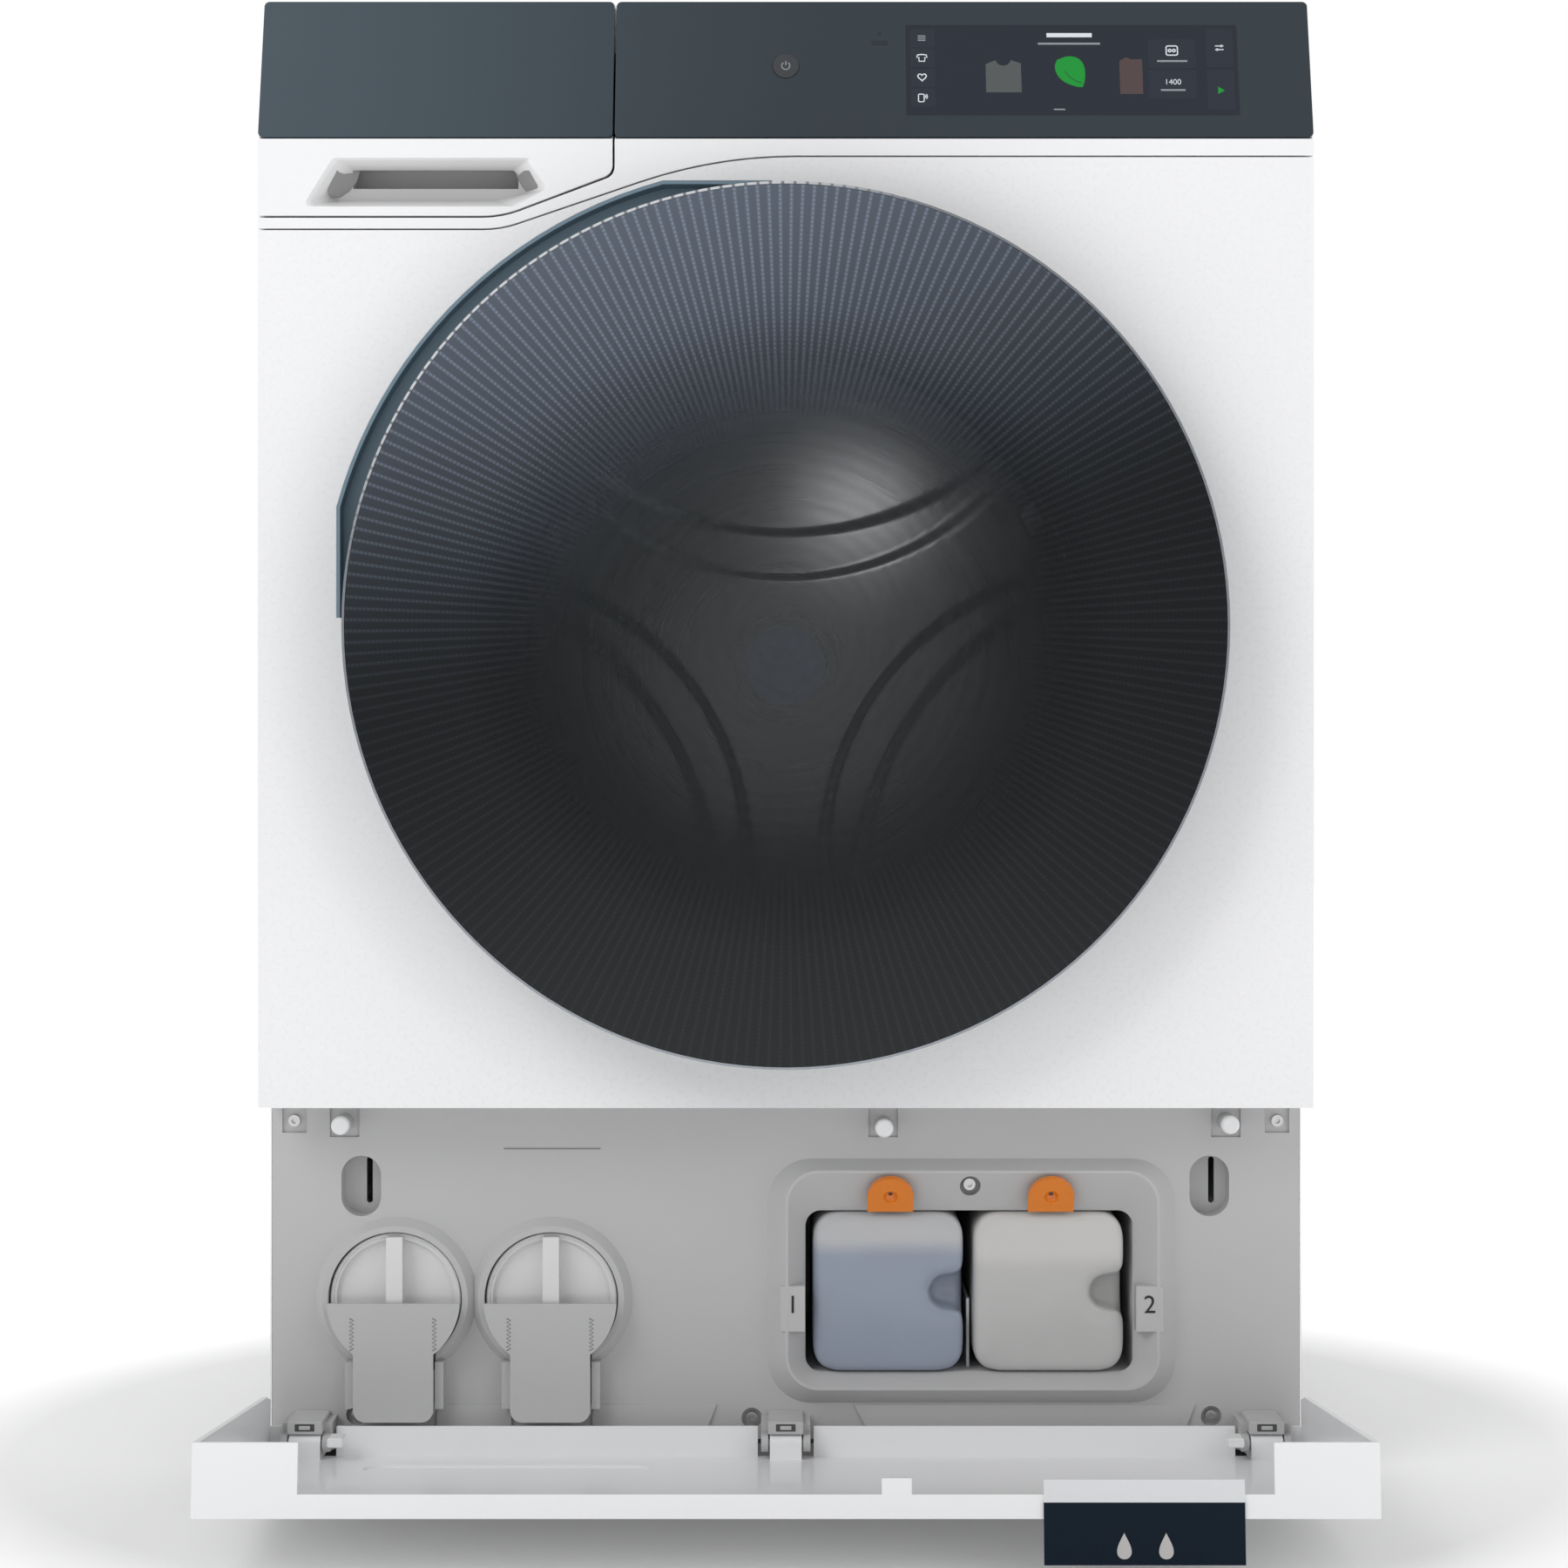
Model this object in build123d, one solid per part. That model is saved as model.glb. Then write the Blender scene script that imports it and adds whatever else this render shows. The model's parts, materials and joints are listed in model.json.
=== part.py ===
from build123d import *
import os
from math import atan2, cos, degrees, radians, sin, sqrt, tan

# A full-size front-loading washing machine with an open plinth flap, in millimetres.
# +X points right as seen from the front, +Y to the back and +Z up.
# The origin lies on the floor, at the middle of the pattern of the four feet.

# ---- driving dimensions of the casing ----------------------------------------
WIDTH = 596.0
DEPTH = 600.0                # front panel to back panel, door not counted
HEIGHT = 850.0
SHEET = 1.0                  # steel sheet
WALL = 3.0                   # moulded covers
THIN = 2.0                   # inner mouldings
SEAM = 1.0                   # gap between neighbouring panels
RUN = 0.05                   # radial clearance of a shaft in its bore
FREE = 0.3                   # clearance between pieces that move past each other

HALF = WIDTH / 2
FRONT = -DEPTH / 2
BACK = DEPTH / 2
RETURN_Y = -262.5            # rear edge of the front panel's folded sides
PLINTH_Y = -262.0            # face of the service panel behind the flap
LID_Z = 822.0
LID_FRONT = -274.0
PAN_Z = 20.0
PAN_TOP = 58.0
PAN_FRONT = -255.5

FOOT_X, FOOT_Y = 250.0, 240.0
FOOT_R, FOOT_H = 20.0, 10.0
STEM_R = 5.0

# ---- front panel, seam and control band ---------------------------------------
PANEL_BOTTOM = 219.7
SEAM_LOW = 715.2             # seam height on the left, below the drawer
SEAM_HIGH = 756.4            # seam height on the right
SEAM_X0, SEAM_X1 = -160.8, -39.6
SEAM_R0, SEAM_R1 = 60.0, 272.0
SLOPE = atan2(SEAM_HIGH - SEAM_LOW, SEAM_X1 - SEAM_X0)

BAND_Z = 767.9               # lower edge of the dark control band
BAND_RISE = HEIGHT - BAND_Z
BAND_SET = 21.0              # how far its top edge lies behind its lower edge
BAND_LEN = sqrt(BAND_RISE ** 2 + BAND_SET ** 2)
TILT = atan2(BAND_SET, BAND_RISE)
BAND_T = 4.0
BAND_GAP = 1.1               # gap under the dark band
BACKING_LEN = 78.0
SPLIT_X = -97.2              # middle of the gap beside the drawer
SPLIT_GAP = 0.6

# ---- door ----------------------------------------------------------------------
DOOR_Z = 489.6
DOOR_R = 244.0
DOOR_FRONT = -343.0
GLASS_T = 5.0
PORT_R = 178.0               # opening in the front panel
BOWL_R0, BOWL_R1 = 168.0, 122.0
BOWL_Y0, BOWL_Y1 = -312.0, -205.0
HINGE_X, HINGE_Y = 228.0, -330.0
HINGE_EAR = 38.0             # height of an ear's middle from the door's centre
HOOK_X, HOOK_Z = -201.0, DOOR_Z - 30
GRIP_R0, GRIP_R1 = 216.0, 263.0
GRIP_FLOOR = -288.0

# ---- washing unit ----------------------------------------------------------------
AXIS_Z = 487.0
TUB_R, TUB_T = 256.0, 4.0
TUB_Y0, TUB_Y1 = -225.0, 165.0
TUB_SPLIT = -60.0
TUB_MOUTH_R = 190.0
DRUM_R, DRUM_T = 240.0, 1.2
DRUM_Y0, DRUM_Y1 = -212.0, 128.0
DRUM_MOUTH_R = 172.0
SHAFT_R = 15.0
BEARING_R = 35.0
PULLEY_R, PULLEY_Y0, PULLEY_Y1 = 140.0, 245.0, 265.0
MOTOR_X, MOTOR_Z = 163.0, 205.0
MOTOR_R, MOTOR_PULLEY_R = 60.0, 12.0
DAMPER_X = 205.0
SPRING_X, SPRING_Y = 262.0, 40.0

# ---- plinth area -----------------------------------------------------------------
PLINTH_X, PLINTH_Z0, PLINTH_Z1 = 296.8, 24.0, 219.5
FILTER_XS = (-225.0, -135.0)
FILTER_Z = 106.0
CAP_R, BEZEL_R = 37.4, 45.0
CHUTE_PIVOT_Y, CHUTE_PIVOT_Z = -269.0, 45.0
BAY_X0, BAY_X1, BAY_Z0, BAY_Z1 = 11.4, 201.0, 62.4, 155.7
BAY_BACK = -75.0
BOTTLE_W, BOTTLE_H, BOTTLE_D = 88.0, 93.0, 175.0
SCOOP_D = 16.0
BOTTLE_XS = (59.2, 151.9)
BOTTLE_Z = 109.0
LEVER_XS = (60.2, 152.6)
LEVER_Y, LEVER_Z = PLINTH_Y - 2.9, BAY_Z1 + 2.4
LEVER_T = 3.0

FLAP_Z0, FLAP_Z1 = 16.0, 216.5
FLAP_PIVOT_Y, FLAP_PIVOT_Z = -288.0, 28.0
FLAP_OPEN = 84.3             # degrees, the rest pose
FLAP_HINGE_XS = (-273.0, 0.0, 273.0)

# ---- rear connections -------------------------------------------------------------
INLET_X, DRAIN_X, MAINS_X = -220.0, -270.0, 230.0
INLET_Z, DRAIN_Z, MAINS_Z = 775.0, 700.0, 775.0
INLET_R, DRAIN_R, MAINS_R = 13.2, 10.5, 4.5


# ---- helpers ------------------------------------------------------------------------
def upright(y):
    """Sketch plane that faces the front: its x is X and its y is Z."""
    return Plane(origin=(0, y, 0), x_dir=(1, 0, 0), z_dir=(0, -1, 0))


def slab(sketch, near, far):
    """Solid of an X-Z outline, from its rear face at far to its front face at near."""
    return extrude(upright(far) * sketch, amount=far - near)


def block(x0, x1, y0, y1, z0, z1):
    """Box between two opposite corners."""
    middle = Pos((x0 + x1) / 2, (y0 + y1) / 2, (z0 + z1) / 2)
    return middle * Box(x1 - x0, y1 - y0, z1 - z0)


def rod(x, z, radius, near, far):
    """Round bar along Y."""
    return slab(Pos(x, z) * Circle(radius), near, far)


def tube(x, z, outer, inner, near, far):
    """Round tube along Y."""
    return slab(Pos(x, z) * (Circle(outer) - Circle(inner)), near, far)


def post(x, y, radius, z0, z1):
    """Round bar along Z."""
    return Pos(x, y, (z0 + z1) / 2) * Cylinder(radius, z1 - z0)


def turned(points, x, z):
    """Solid of revolution about the Y line through x, z; points are radius and Y."""
    profile = make_face(Polyline(*points, close=True))
    return Pos(x, 0, z) * revolve(profile, Axis.Y)


def ribbon(points, thickness):
    """Outline of constant thickness along a chain of points, with round corners."""
    outline = Sketch()
    for (x0, y0), (x1, y1) in zip(points, points[1:]):
        run = sqrt((x1 - x0) ** 2 + (y1 - y0) ** 2)
        turn = degrees(atan2(y1 - y0, x1 - x0))
        outline += Pos((x0 + x1) / 2, (y0 + y1) / 2) * Rot(0, 0, turn) * SlotCenterToCenter(run, thickness)
    return outline


def soften(sketch, corners):
    """Round the named corners of an outline; corners maps a place to its radius."""
    for place, radius in corners.items():
        nearest = sketch.vertices().sort_by_distance(Vector(*place))[0]
        sketch = fillet(nearest, radius)
    return sketch


def rounded(x0, x1, z0, z1, radius):
    """Rounded rectangle between two opposite corners."""
    return Pos((x0 + x1) / 2, (z0 + z1) / 2) * RectangleRounded(x1 - x0, z1 - z0, radius)


def band_plane(depth=0.0):
    """Sketch plane of the tilted control band: x is X, y climbs the slope."""
    front = Plane(origin=(0, FRONT, BAND_Z), x_dir=(1, 0, 0), z_dir=(0, -cos(TILT), sin(TILT)))
    return front.offset(-depth)


def band_slab(sketch, near, far):
    """Solid parallel to the control band, between two depths behind its face."""
    return extrude(band_plane(far) * sketch, amount=far - near)


def cheek(x0, x1, z0):
    """Side wall beside the control band, behind the plane of the glass."""
    near = (BAND_T + 0.1) / cos(TILT)
    top_z = HEIGHT - 2
    top_y = FRONT + near + (top_z - BAND_Z) * tan(TILT)
    rear = LID_FRONT - 0.5
    profile = Polyline(
        (RETURN_Y, z0), (FRONT, z0), (FRONT, BAND_Z - BAND_GAP), (FRONT + near, BAND_Z - BAND_GAP),
        (FRONT + near, BAND_Z), (top_y, top_z), (rear, top_z), (rear, LID_Z - 0.5), (RETURN_Y, LID_Z - 0.5),
        close=True)
    side = Plane(origin=(x0, 0, 0), x_dir=(0, 1, 0), z_dir=(1, 0, 0))
    return extrude(side * make_face(profile), amount=x1 - x0)


def hose(points, radius, wall):
    """Hose along straight runs joined by arcs as large as their runs allow."""
    radii = []
    for before, here, after in zip(points, points[1:], points[2:]):
        into = Vector(*here) - Vector(*before)
        away = Vector(*after) - Vector(*here)
        turn = radians(into.get_angle(away))
        radii.append(0.45 * min(into.length, away.length) / tan(turn / 2))
    path = FilletPolyline(*points, radius=radii)
    start = Plane(origin=path @ 0, z_dir=path % 0)
    return sweep(start * (Circle(radius) - Circle(radius - wall)), path=path)


# ---- casing ----------------------------------------------------------------------
def foot(x, y):
    """Levelling foot: pad, lock nut and threaded stem."""
    pad = post(x, y, FOOT_R, 0, FOOT_H)
    stem = post(x, y, STEM_R, FOOT_H, PAN_TOP - 12)
    nut = Pos(x, y, 13) * extrude(RegularPolygon(9.5, 6), amount=PAN_Z - 13.2)
    return pad + stem + nut


def base_pan():
    """Tray that closes the machine below and carries the feet and dampers."""
    x, floor = HALF - SHEET - 0.1, PAN_Z + WALL
    pan = block(-x, x, PAN_FRONT, BACK - 2, PAN_Z, PAN_TOP)
    pan -= block(WALL - x, x - WALL, PAN_FRONT + WALL, BACK - 2 - WALL, floor, PAN_TOP)
    for rib_x in (-150.0, -50.0, 50.0, 150.0):
        pan += block(rib_x - 1.5, rib_x + 1.5, PAN_FRONT + WALL, BACK - 2 - WALL, floor, floor + 12)
    for foot_x in (-FOOT_X, FOOT_X):
        for foot_y in (-FOOT_Y, FOOT_Y):
            pan += post(foot_x, foot_y, 15, PAN_Z, PAN_TOP - 6)
            pan -= post(foot_x, foot_y, STEM_R + FREE, PAN_Z, PAN_TOP)
    for x, z in screw_places():
        pan -= rod(x, z, 2.2, PAN_FRONT, PAN_FRONT + 8)
    return pan


def side_sheet():
    """Right casing sheet with a pressed field, folded edges and a spring hanger."""
    inner = HALF - SHEET
    sheet = block(inner, HALF, PLINTH_Y, BACK, 18, LID_Z)
    press, border = 1.5, 6.0
    middle = ((PLINTH_Y + BACK) / 2, 420.0)
    large = RectangleRounded(430, 620, 30)
    small = RectangleRounded(430 - 2 * border, 620 - 2 * border, 30 - border / 2)
    for start, adds in ((inner, True), (HALF, False)):
        near = Plane(origin=(start, *middle), x_dir=(0, 1, 0), z_dir=(-1, 0, 0))
        field = loft([near * large, near.offset(press) * small])
        sheet = sheet + field if adds else sheet - field
    sheet += block(inner - 12, inner, PLINTH_Y, PLINTH_Y + SHEET, 222, 735)
    sheet += block(inner - 12, inner, BACK - 2, BACK - 1, PAN_TOP + 2, LID_Z)
    sheet += block(inner - 12, inner, RETURN_Y + 14, BACK - 2, LID_Z - SHEET, LID_Z)
    hanger = block(SPRING_X - 16, inner, SPRING_Y - 20, SPRING_Y + 20, 780, 783)
    hanger += block(SPRING_X - 16, inner, SPRING_Y + 18, SPRING_Y + 20, 783, 800)
    return sheet + hanger


def side_panels():
    """Left and right casing sheets."""
    right = side_sheet()
    return Compound([right, mirror(right, about=Plane.YZ)])


def back_panel():
    """Rear sheet with a pressed service field, vents and holes for the connections."""
    sheet = block(2 - HALF, HALF - 2, BACK - SHEET, BACK, PAN_TOP + 2, LID_Z)
    large = Pos(0, 400) * RectangleRounded(440, 560, 50)
    small = Pos(0, 400) * RectangleRounded(416, 536, 42)
    sheet += loft([upright(BACK - SHEET) * large, upright(BACK - SHEET - 8) * small])
    sheet -= loft([upright(BACK) * large, upright(BACK - 8) * small])
    for row in range(6):
        for side in (-1, 1):
            sheet -= slab(Pos(side * 60, 180 + 14 * row) * SlotOverall(90, 5), BACK - 12, BACK)
    for x, z, radius in ((INLET_X, INLET_Z, 18), (DRAIN_X, DRAIN_Z, 14), (MAINS_X, MAINS_Z, 11)):
        sheet -= rod(x, z, radius, BACK - 2, BACK)
    return sheet


def seam(rise):
    """The two bends of the sloping seam, moved up by rise square to the seam."""
    shift = -tan(SLOPE / 2) * rise
    return (SEAM_X0 + shift, SEAM_LOW + rise), (SEAM_X1 + shift, SEAM_HIGH + rise)


def front_outline(inset):
    """Outline of the front panel, drawn in by inset on every side."""
    low, high = seam(-inset)
    x, z0 = HALF - inset, PANEL_BOTTOM + inset
    outline = make_face(Polyline((-x, z0), (x, z0), (x, high[1]), high, low, (-x, low[1]), close=True))
    return soften(outline, {low: SEAM_R0 + inset, high: SEAM_R1 - inset})


def grip_outline(inset):
    """Crescent of the door grip: a ring sector with two flattened sides."""
    outer, inner = GRIP_R1 - inset, GRIP_R0 + inset
    ring = Circle(outer) - Circle(inner)
    reach = 253.7 - inset
    wedge = make_face(Polyline((0, 0), (-9, 300), (-300, 300), (-300, 8), close=True))
    crescent = ring & wedge & (Pos(150 - reach, reach - 150) * Rectangle(300, 300))
    return Pos(0, DOOR_Z) * crescent


def front_panel():
    """Folded steel front with the door port, the grip cut-out and the lock slot."""
    panel = slab(front_outline(0), FRONT, RETURN_Y)
    panel -= slab(front_outline(SHEET), FRONT + SHEET, RETURN_Y)
    panel -= rod(0, DOOR_Z, PORT_R, FRONT, FRONT + SHEET)
    panel += tube(0, DOOR_Z, PORT_R + SHEET, PORT_R, FRONT + SHEET, FRONT + 10)
    panel -= slab(grip_outline(0), FRONT, FRONT + SHEET)
    return panel - slab(Pos(HOOK_X, HOOK_Z) * Rectangle(18, 44), FRONT, FRONT + SHEET)


def grip_recess():
    """Moulded finger recess behind the upper left of the door's rim."""
    tray = slab(grip_outline(0.1), FRONT, GRIP_FLOOR + THIN)
    return tray - slab(grip_outline(0.1 + THIN), FRONT, GRIP_FLOOR)


def fascia():
    """White frame of the control band, with the strip under the drawer."""
    low, high = seam(SEAM)
    strip_low, strip_high = (-160.4 + 0.2, 722.2), (SPLIT_X + SPLIT_GAP, 746.1)
    top = BAND_Z - BAND_GAP
    outline = make_face(Polyline(
        (-HALF, low[1]), low, high, (HALF, high[1]), (HALF, top), (strip_high[0], top),
        strip_high, strip_low, (-HALF, strip_low[1]), close=True))
    outline = soften(outline, {low: SEAM_R0 - SEAM, high: SEAM_R1 + SEAM, strip_low: SEAM_R0, strip_high: 7})
    frame = slab(outline, FRONT, FRONT + WALL)
    frame += cheek(HALF - WALL, HALF, high[1])
    frame += block(-HALF, WALL - HALF, FRONT, RETURN_Y, low[1], strip_low[1])
    middle = (strip_high[0] + HALF - WALL) / 2
    width = HALF - WALL - strip_high[0]
    backing = Pos(middle, BACKING_LEN / 2) * Rectangle(width, BACKING_LEN)
    backing -= Pos(162.6, 41.7) * Rectangle(192, 60)
    backing -= Pos(0, button_climb()) * Circle(9)
    frame += band_slab(backing, BAND_T, BAND_T + 2.5)
    return frame + block(strip_high[0], HALF - WALL, FRONT + WALL, FRONT + 12, top - 3, top)


def lid():
    """Worktop board with rounded edges."""
    board = block(-HALF, HALF, LID_FRONT, BACK, LID_Z, HEIGHT)
    board = fillet(board.edges().filter_by(Axis.Z).group_by(Axis.Y)[-1], 8)
    return fillet(board.faces().sort_by(Axis.Z)[-1].edges(), 2.5)


# ---- control band ------------------------------------------------------------------
def button_climb():
    """Distance of the power button's middle up the slope of the band."""
    return (810.5 - BAND_Z) / cos(TILT)


def control_glass():
    """Dark cover of the controls, with a hole for the power button."""
    x0, x1 = SPLIT_X + SPLIT_GAP, HALF
    pane = rounded(x0, x1, 0, BAND_LEN, 3) - Pos(0, button_climb()) * Circle(7.6)
    return band_slab(pane, 0, BAND_T)


def display_unit():
    """Display module in the window of the fascia, with the control board behind it."""
    module = band_slab(rounded(68, 257, 13.5, 70, 2), BAND_T + 0.1, BAND_T + 3)
    board = band_slab(rounded(40, 288, 5, 50, 2), 9.0, 10.6)
    board += band_slab(Pos(162, 28) * Rectangle(120, 30), BAND_T + 3, 9.0)
    return module + board


def power_button():
    """Round push button on its plunger, square to the band."""
    cap = band_slab(Pos(0, button_climb()) * Circle(7.5 - 0.1), -0.5, 3)
    return cap + band_slab(Pos(0, button_climb()) * Circle(3), 3, 10)


# ---- detergent drawer ----------------------------------------------------------------
def drawer_outline():
    """Outline of the drawer's white front below the dark band."""
    foot_z, corner, edge = 723.4, (SPLIT_X - SPLIT_GAP, 747.2), (-160.4, 723.4)
    top = BAND_Z - BAND_GAP
    outline = make_face(Polyline(
        (-HALF, foot_z), edge, corner, (corner[0], top), (-HALF, top), close=True))
    return soften(outline, {edge: 60, corner: 7})


def handle_mouth(inset):
    """Outline of the drawer's handle hollow."""
    corners = [(-255.7 + inset, 756.1 - inset / 2), (-144.5 - inset, 756.1 - inset / 2),
               (-132.7 - inset, 739.4), (-153.4 - inset, 728.5 + inset / 2),
               (-272.9 + inset, 728.5 + inset / 2)]
    outline = make_face(Polyline(*corners, close=True))
    return fillet(outline.vertices(), 2.5)


def drawer_front():
    """Front of the drawer with its bevelled handle hollow and the carrier of its glass."""
    right = SPLIT_X - SPLIT_GAP
    front = slab(drawer_outline(), FRONT, FRONT + WALL)
    front += cheek(-HALF, WALL - HALF, 723.4)
    width = right - (WALL - HALF)
    backing = Pos(right - width / 2, BACKING_LEN / 2) * Rectangle(width, BACKING_LEN)
    front += band_slab(backing, BAND_T, BAND_T + 2.5)
    front += block(WALL - HALF, right, FRONT + WALL, FRONT + 12, BAND_Z - 4, BAND_Z - BAND_GAP)
    shell = block(-277, -128, FRONT + WALL, -269.5, 725.5, BAND_Z - 4)
    front += shell & slab(drawer_outline(), FRONT + WALL, -269.5)
    front -= loft([upright(FRONT) * handle_mouth(0), upright(FRONT + 12) * handle_mouth(12)])
    return front - block(-246, -152, FRONT + 10, -271.5, 741, BAND_Z - 6)


def drawer_glass():
    """Dark cover on the upper part of the drawer front."""
    pane = rounded(-HALF, SPLIT_X - SPLIT_GAP, 0, BAND_LEN, 3)
    return band_slab(pane, 0, BAND_T)


def drawer_tray():
    """Tray with three compartments: main wash, prewash and softener."""
    x0, x1, y0, y1, z0, z1 = -288.0, -108.0, -269.3, -30.0, 746.0, 800.0
    tray = block(x0, x1, y0, y1, z0, z1)
    for a, b, near in ((x0, -232.0, -262.0), (-232.0, -170.0, -262.0), (-170.0, x1, -262.0)):
        tray -= block(a + THIN, b - THIN / 2, near, y1 - THIN, z0 + THIN, z1)
    return tray


def dispenser_housing():
    """Box that the drawer slides in, open to the front, with a spout to the tub."""
    x0, x1, y0, y1, z0, z1 = -292.0, -104.0, PLINTH_Y, -20.0, 740.0, 818.0
    box = block(x0, x1, y0, y1, z0, z1)
    box -= block(x0 + THIN, x1 - THIN, y0, y1 - THIN, z0 + THIN, z1 - THIN)
    return box


# ---- door ------------------------------------------------------------------------------
def door_frame():
    """Channel ring that carries the glass, cut open where the hinge arms pass."""
    ring = turned([
        (172, -338), (172, -304), (224, -304), (DOOR_R, -328), (DOOR_R, DOOR_FRONT),
        (DOOR_R - 1.4, DOOR_FRONT), (DOOR_R - 1.4, -338), (DOOR_R - 3, -338), (DOOR_R - 3, -327.2),
        (222.7, -307), (175, -307), (175, -338)], 0, DOOR_Z)
    ring -= block(171, 246, -336.5, -303, DOOR_Z - 48, DOOR_Z + 48)
    web = block(-213, -184, -312, -307, HOOK_Z - 22, HOOK_Z + 22)
    return ring + web


def door_glass():
    """Round outer pane."""
    return rod(0, DOOR_Z, DOOR_R - 1.6, DOOR_FRONT, DOOR_FRONT + GLASS_T)


def door_bowl():
    """Glass bowl that reaches into the drum's mouth."""
    wall = 5.0
    return turned([
        (BOWL_R0 + 3.8, -336), (BOWL_R0 + 3.8, BOWL_Y0), (BOWL_R0, BOWL_Y0), (BOWL_R1, BOWL_Y1),
        (0, BOWL_Y1), (0, BOWL_Y1 - wall), (BOWL_R1 - wall * 0.7, BOWL_Y1 - wall),
        (BOWL_R0 - wall, BOWL_Y0 - wall), (BOWL_R0 - wall, -336)], 0, DOOR_Z)


def door_fittings():
    """Hinge leaf with its pin, and the hook of the lock."""
    leaf = block(190, 224, -337.8, -334, DOOR_Z - 30, DOOR_Z + 30)
    leaf += post(HINGE_X, HINGE_Y, 6, DOOR_Z - 31.5, DOOR_Z + 31.5)
    leaf += post(HINGE_X, HINGE_Y, 3, DOOR_Z - 47, DOOR_Z + 47)
    hook = block(HOOK_X - 4, HOOK_X + 4, -304, -284, HOOK_Z - 14, HOOK_Z + 14)
    hook -= block(HOOK_X - 4, HOOK_X + 4, -295, -289, HOOK_Z - 9, HOOK_Z + 9)
    return Compound([leaf, hook])


def door_hinge_bracket():
    """Plate on the front panel with the two ears that hold the hinge pin."""
    plate = block(180.5, 206, -303, FRONT, DOOR_Z - 46, DOOR_Z + 46)
    root = Pos(188.5, -301.5) * Rectangle(15, 3)
    knuckle = Pos(HINGE_X, HINGE_Y) * Circle(7)
    arm = make_hull(root.edges() + knuckle.edges())
    for level in (-HINGE_EAR, HINGE_EAR):
        plate += Pos(0, 0, DOOR_Z + level - 6) * extrude(arm, amount=12)
    return plate - post(HINGE_X, HINGE_Y, 3 + RUN, DOOR_Z - 50, DOOR_Z + 50)


def door_lock():
    """Lock case behind the front panel, with the pocket that takes the hook."""
    case = block(-236, -191, FRONT + SHEET, -267, HOOK_Z - 27, HOOK_Z + 27)
    return case - block(HOOK_X - 9, HOOK_X + 9, FRONT + SHEET, -276, HOOK_Z - 22, HOOK_Z + 22)


def gasket():
    """Folded rubber ring between the front panel and the tub's mouth."""
    rim = [(182.5, -296), (182.5, -287), (174.5, -284), (175, -262), (183, -256), (183, -246),
           (174, -240), (176, -229), (186, -229)]
    profile = ribbon(rim, 3.4)
    return Pos(0, 0, DOOR_Z) * revolve(profile, Axis.Y)


# ---- tub -----------------------------------------------------------------------------------
def sump():
    """Outline block of the trough under the tub."""
    return block(-60, 60, -50, 150, 205, AXIS_Z - 200)


def tub_rear():
    """Rear half of the tub with its back wall, sump, spring lugs and motor arms."""
    shell = rod(0, AXIS_Z, TUB_R, TUB_SPLIT, TUB_Y1)
    shell += tube(0, AXIS_Z, TUB_R + 6, TUB_R, TUB_SPLIT, TUB_SPLIT + 6)
    shell += sump()
    for side in (-1, 1):
        shell += block(*sorted((side * 210, side * (SPRING_X + 12))), 30, 50, 604, 612)
        shell += block(*sorted((side * 195, side * 215)), -10, 10, 322, 350)
    for y in (80.0, 150.0):
        arm = make_hull((Pos(MOTOR_X, MOTOR_Z) * Circle(MOTOR_R + 8)).edges()
                        + (Pos(95, 270) * Circle(70)).edges())
        shell += slab(arm, y, y + 8)
    shell -= rod(0, AXIS_Z, TUB_R - TUB_T, TUB_SPLIT, TUB_Y1 - 5)
    shell -= block(-57, 57, -47, 147, 208, AXIS_Z)
    shell -= rod(MOTOR_X, MOTOR_Z, MOTOR_R + FREE, 60, 235)
    shell -= rod(0, AXIS_Z, 60 + FREE, TUB_Y1 - 5, TUB_Y1)
    return shell - slab(Pos(0, 219) * SlotOverall(50, 12), 140, 150)


def tub_front():
    """Front half of the tub with the flanged mouth that takes the gasket."""
    shell = rod(0, AXIS_Z, TUB_R, TUB_Y0, TUB_SPLIT)
    shell += tube(0, AXIS_Z, TUB_R + 6, TUB_R, TUB_SPLIT - 6, TUB_SPLIT)
    shell -= rod(0, AXIS_Z, TUB_R - TUB_T, TUB_Y0 + 4, TUB_SPLIT)
    shell += tube(0, DOOR_Z, TUB_MOUTH_R + 4, TUB_MOUTH_R, TUB_Y0 - 8, TUB_Y0)
    return shell - rod(0, DOOR_Z, TUB_MOUTH_R, TUB_Y0 - 8, TUB_Y0 + 4)


def bearing_housing():
    """Flanged carrier of the two bearings, bolted to the tub's back wall."""
    near = TUB_Y1 - 5
    return turned([
        (SHAFT_R + 4, near), (60, near), (60, TUB_Y1), (95, TUB_Y1), (95, TUB_Y1 + 8), (48, TUB_Y1 + 12),
        (44, 233), (BEARING_R, 233), (BEARING_R, 215), (28, 215), (28, 190),
        (BEARING_R, 190), (BEARING_R, 175), (SHAFT_R + 4, 175)], 0, AXIS_Z)


def bearings():
    """Two grooved ball bearings."""
    rings = []
    for near in (175.0, 215.0):
        far = near + 15
        rings.append(turned([
            (SHAFT_R + RUN, near), (20, near), (20, near + 1.5), (30, near + 1.5), (30, near),
            (BEARING_R - 0.02, near), (BEARING_R - 0.02, far), (30, far), (30, far - 1.5),
            (20, far - 1.5), (20, far), (SHAFT_R + RUN, far)], 0, AXIS_Z))
    return Compound(rings)


def counterweights():
    """Concrete block on top of the tub and concrete ring around its mouth."""
    top = block(-60, 200, -150, 100, 650, 790) - rod(0, AXIS_Z, TUB_R + 7, -150, 100)
    front = tube(0, AXIS_Z, 246, 202, -258, TUB_Y0)
    return Compound([fillet(top.edges().filter_by(Axis.Y).group_by(Axis.Z)[-1], 12), front])


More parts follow.
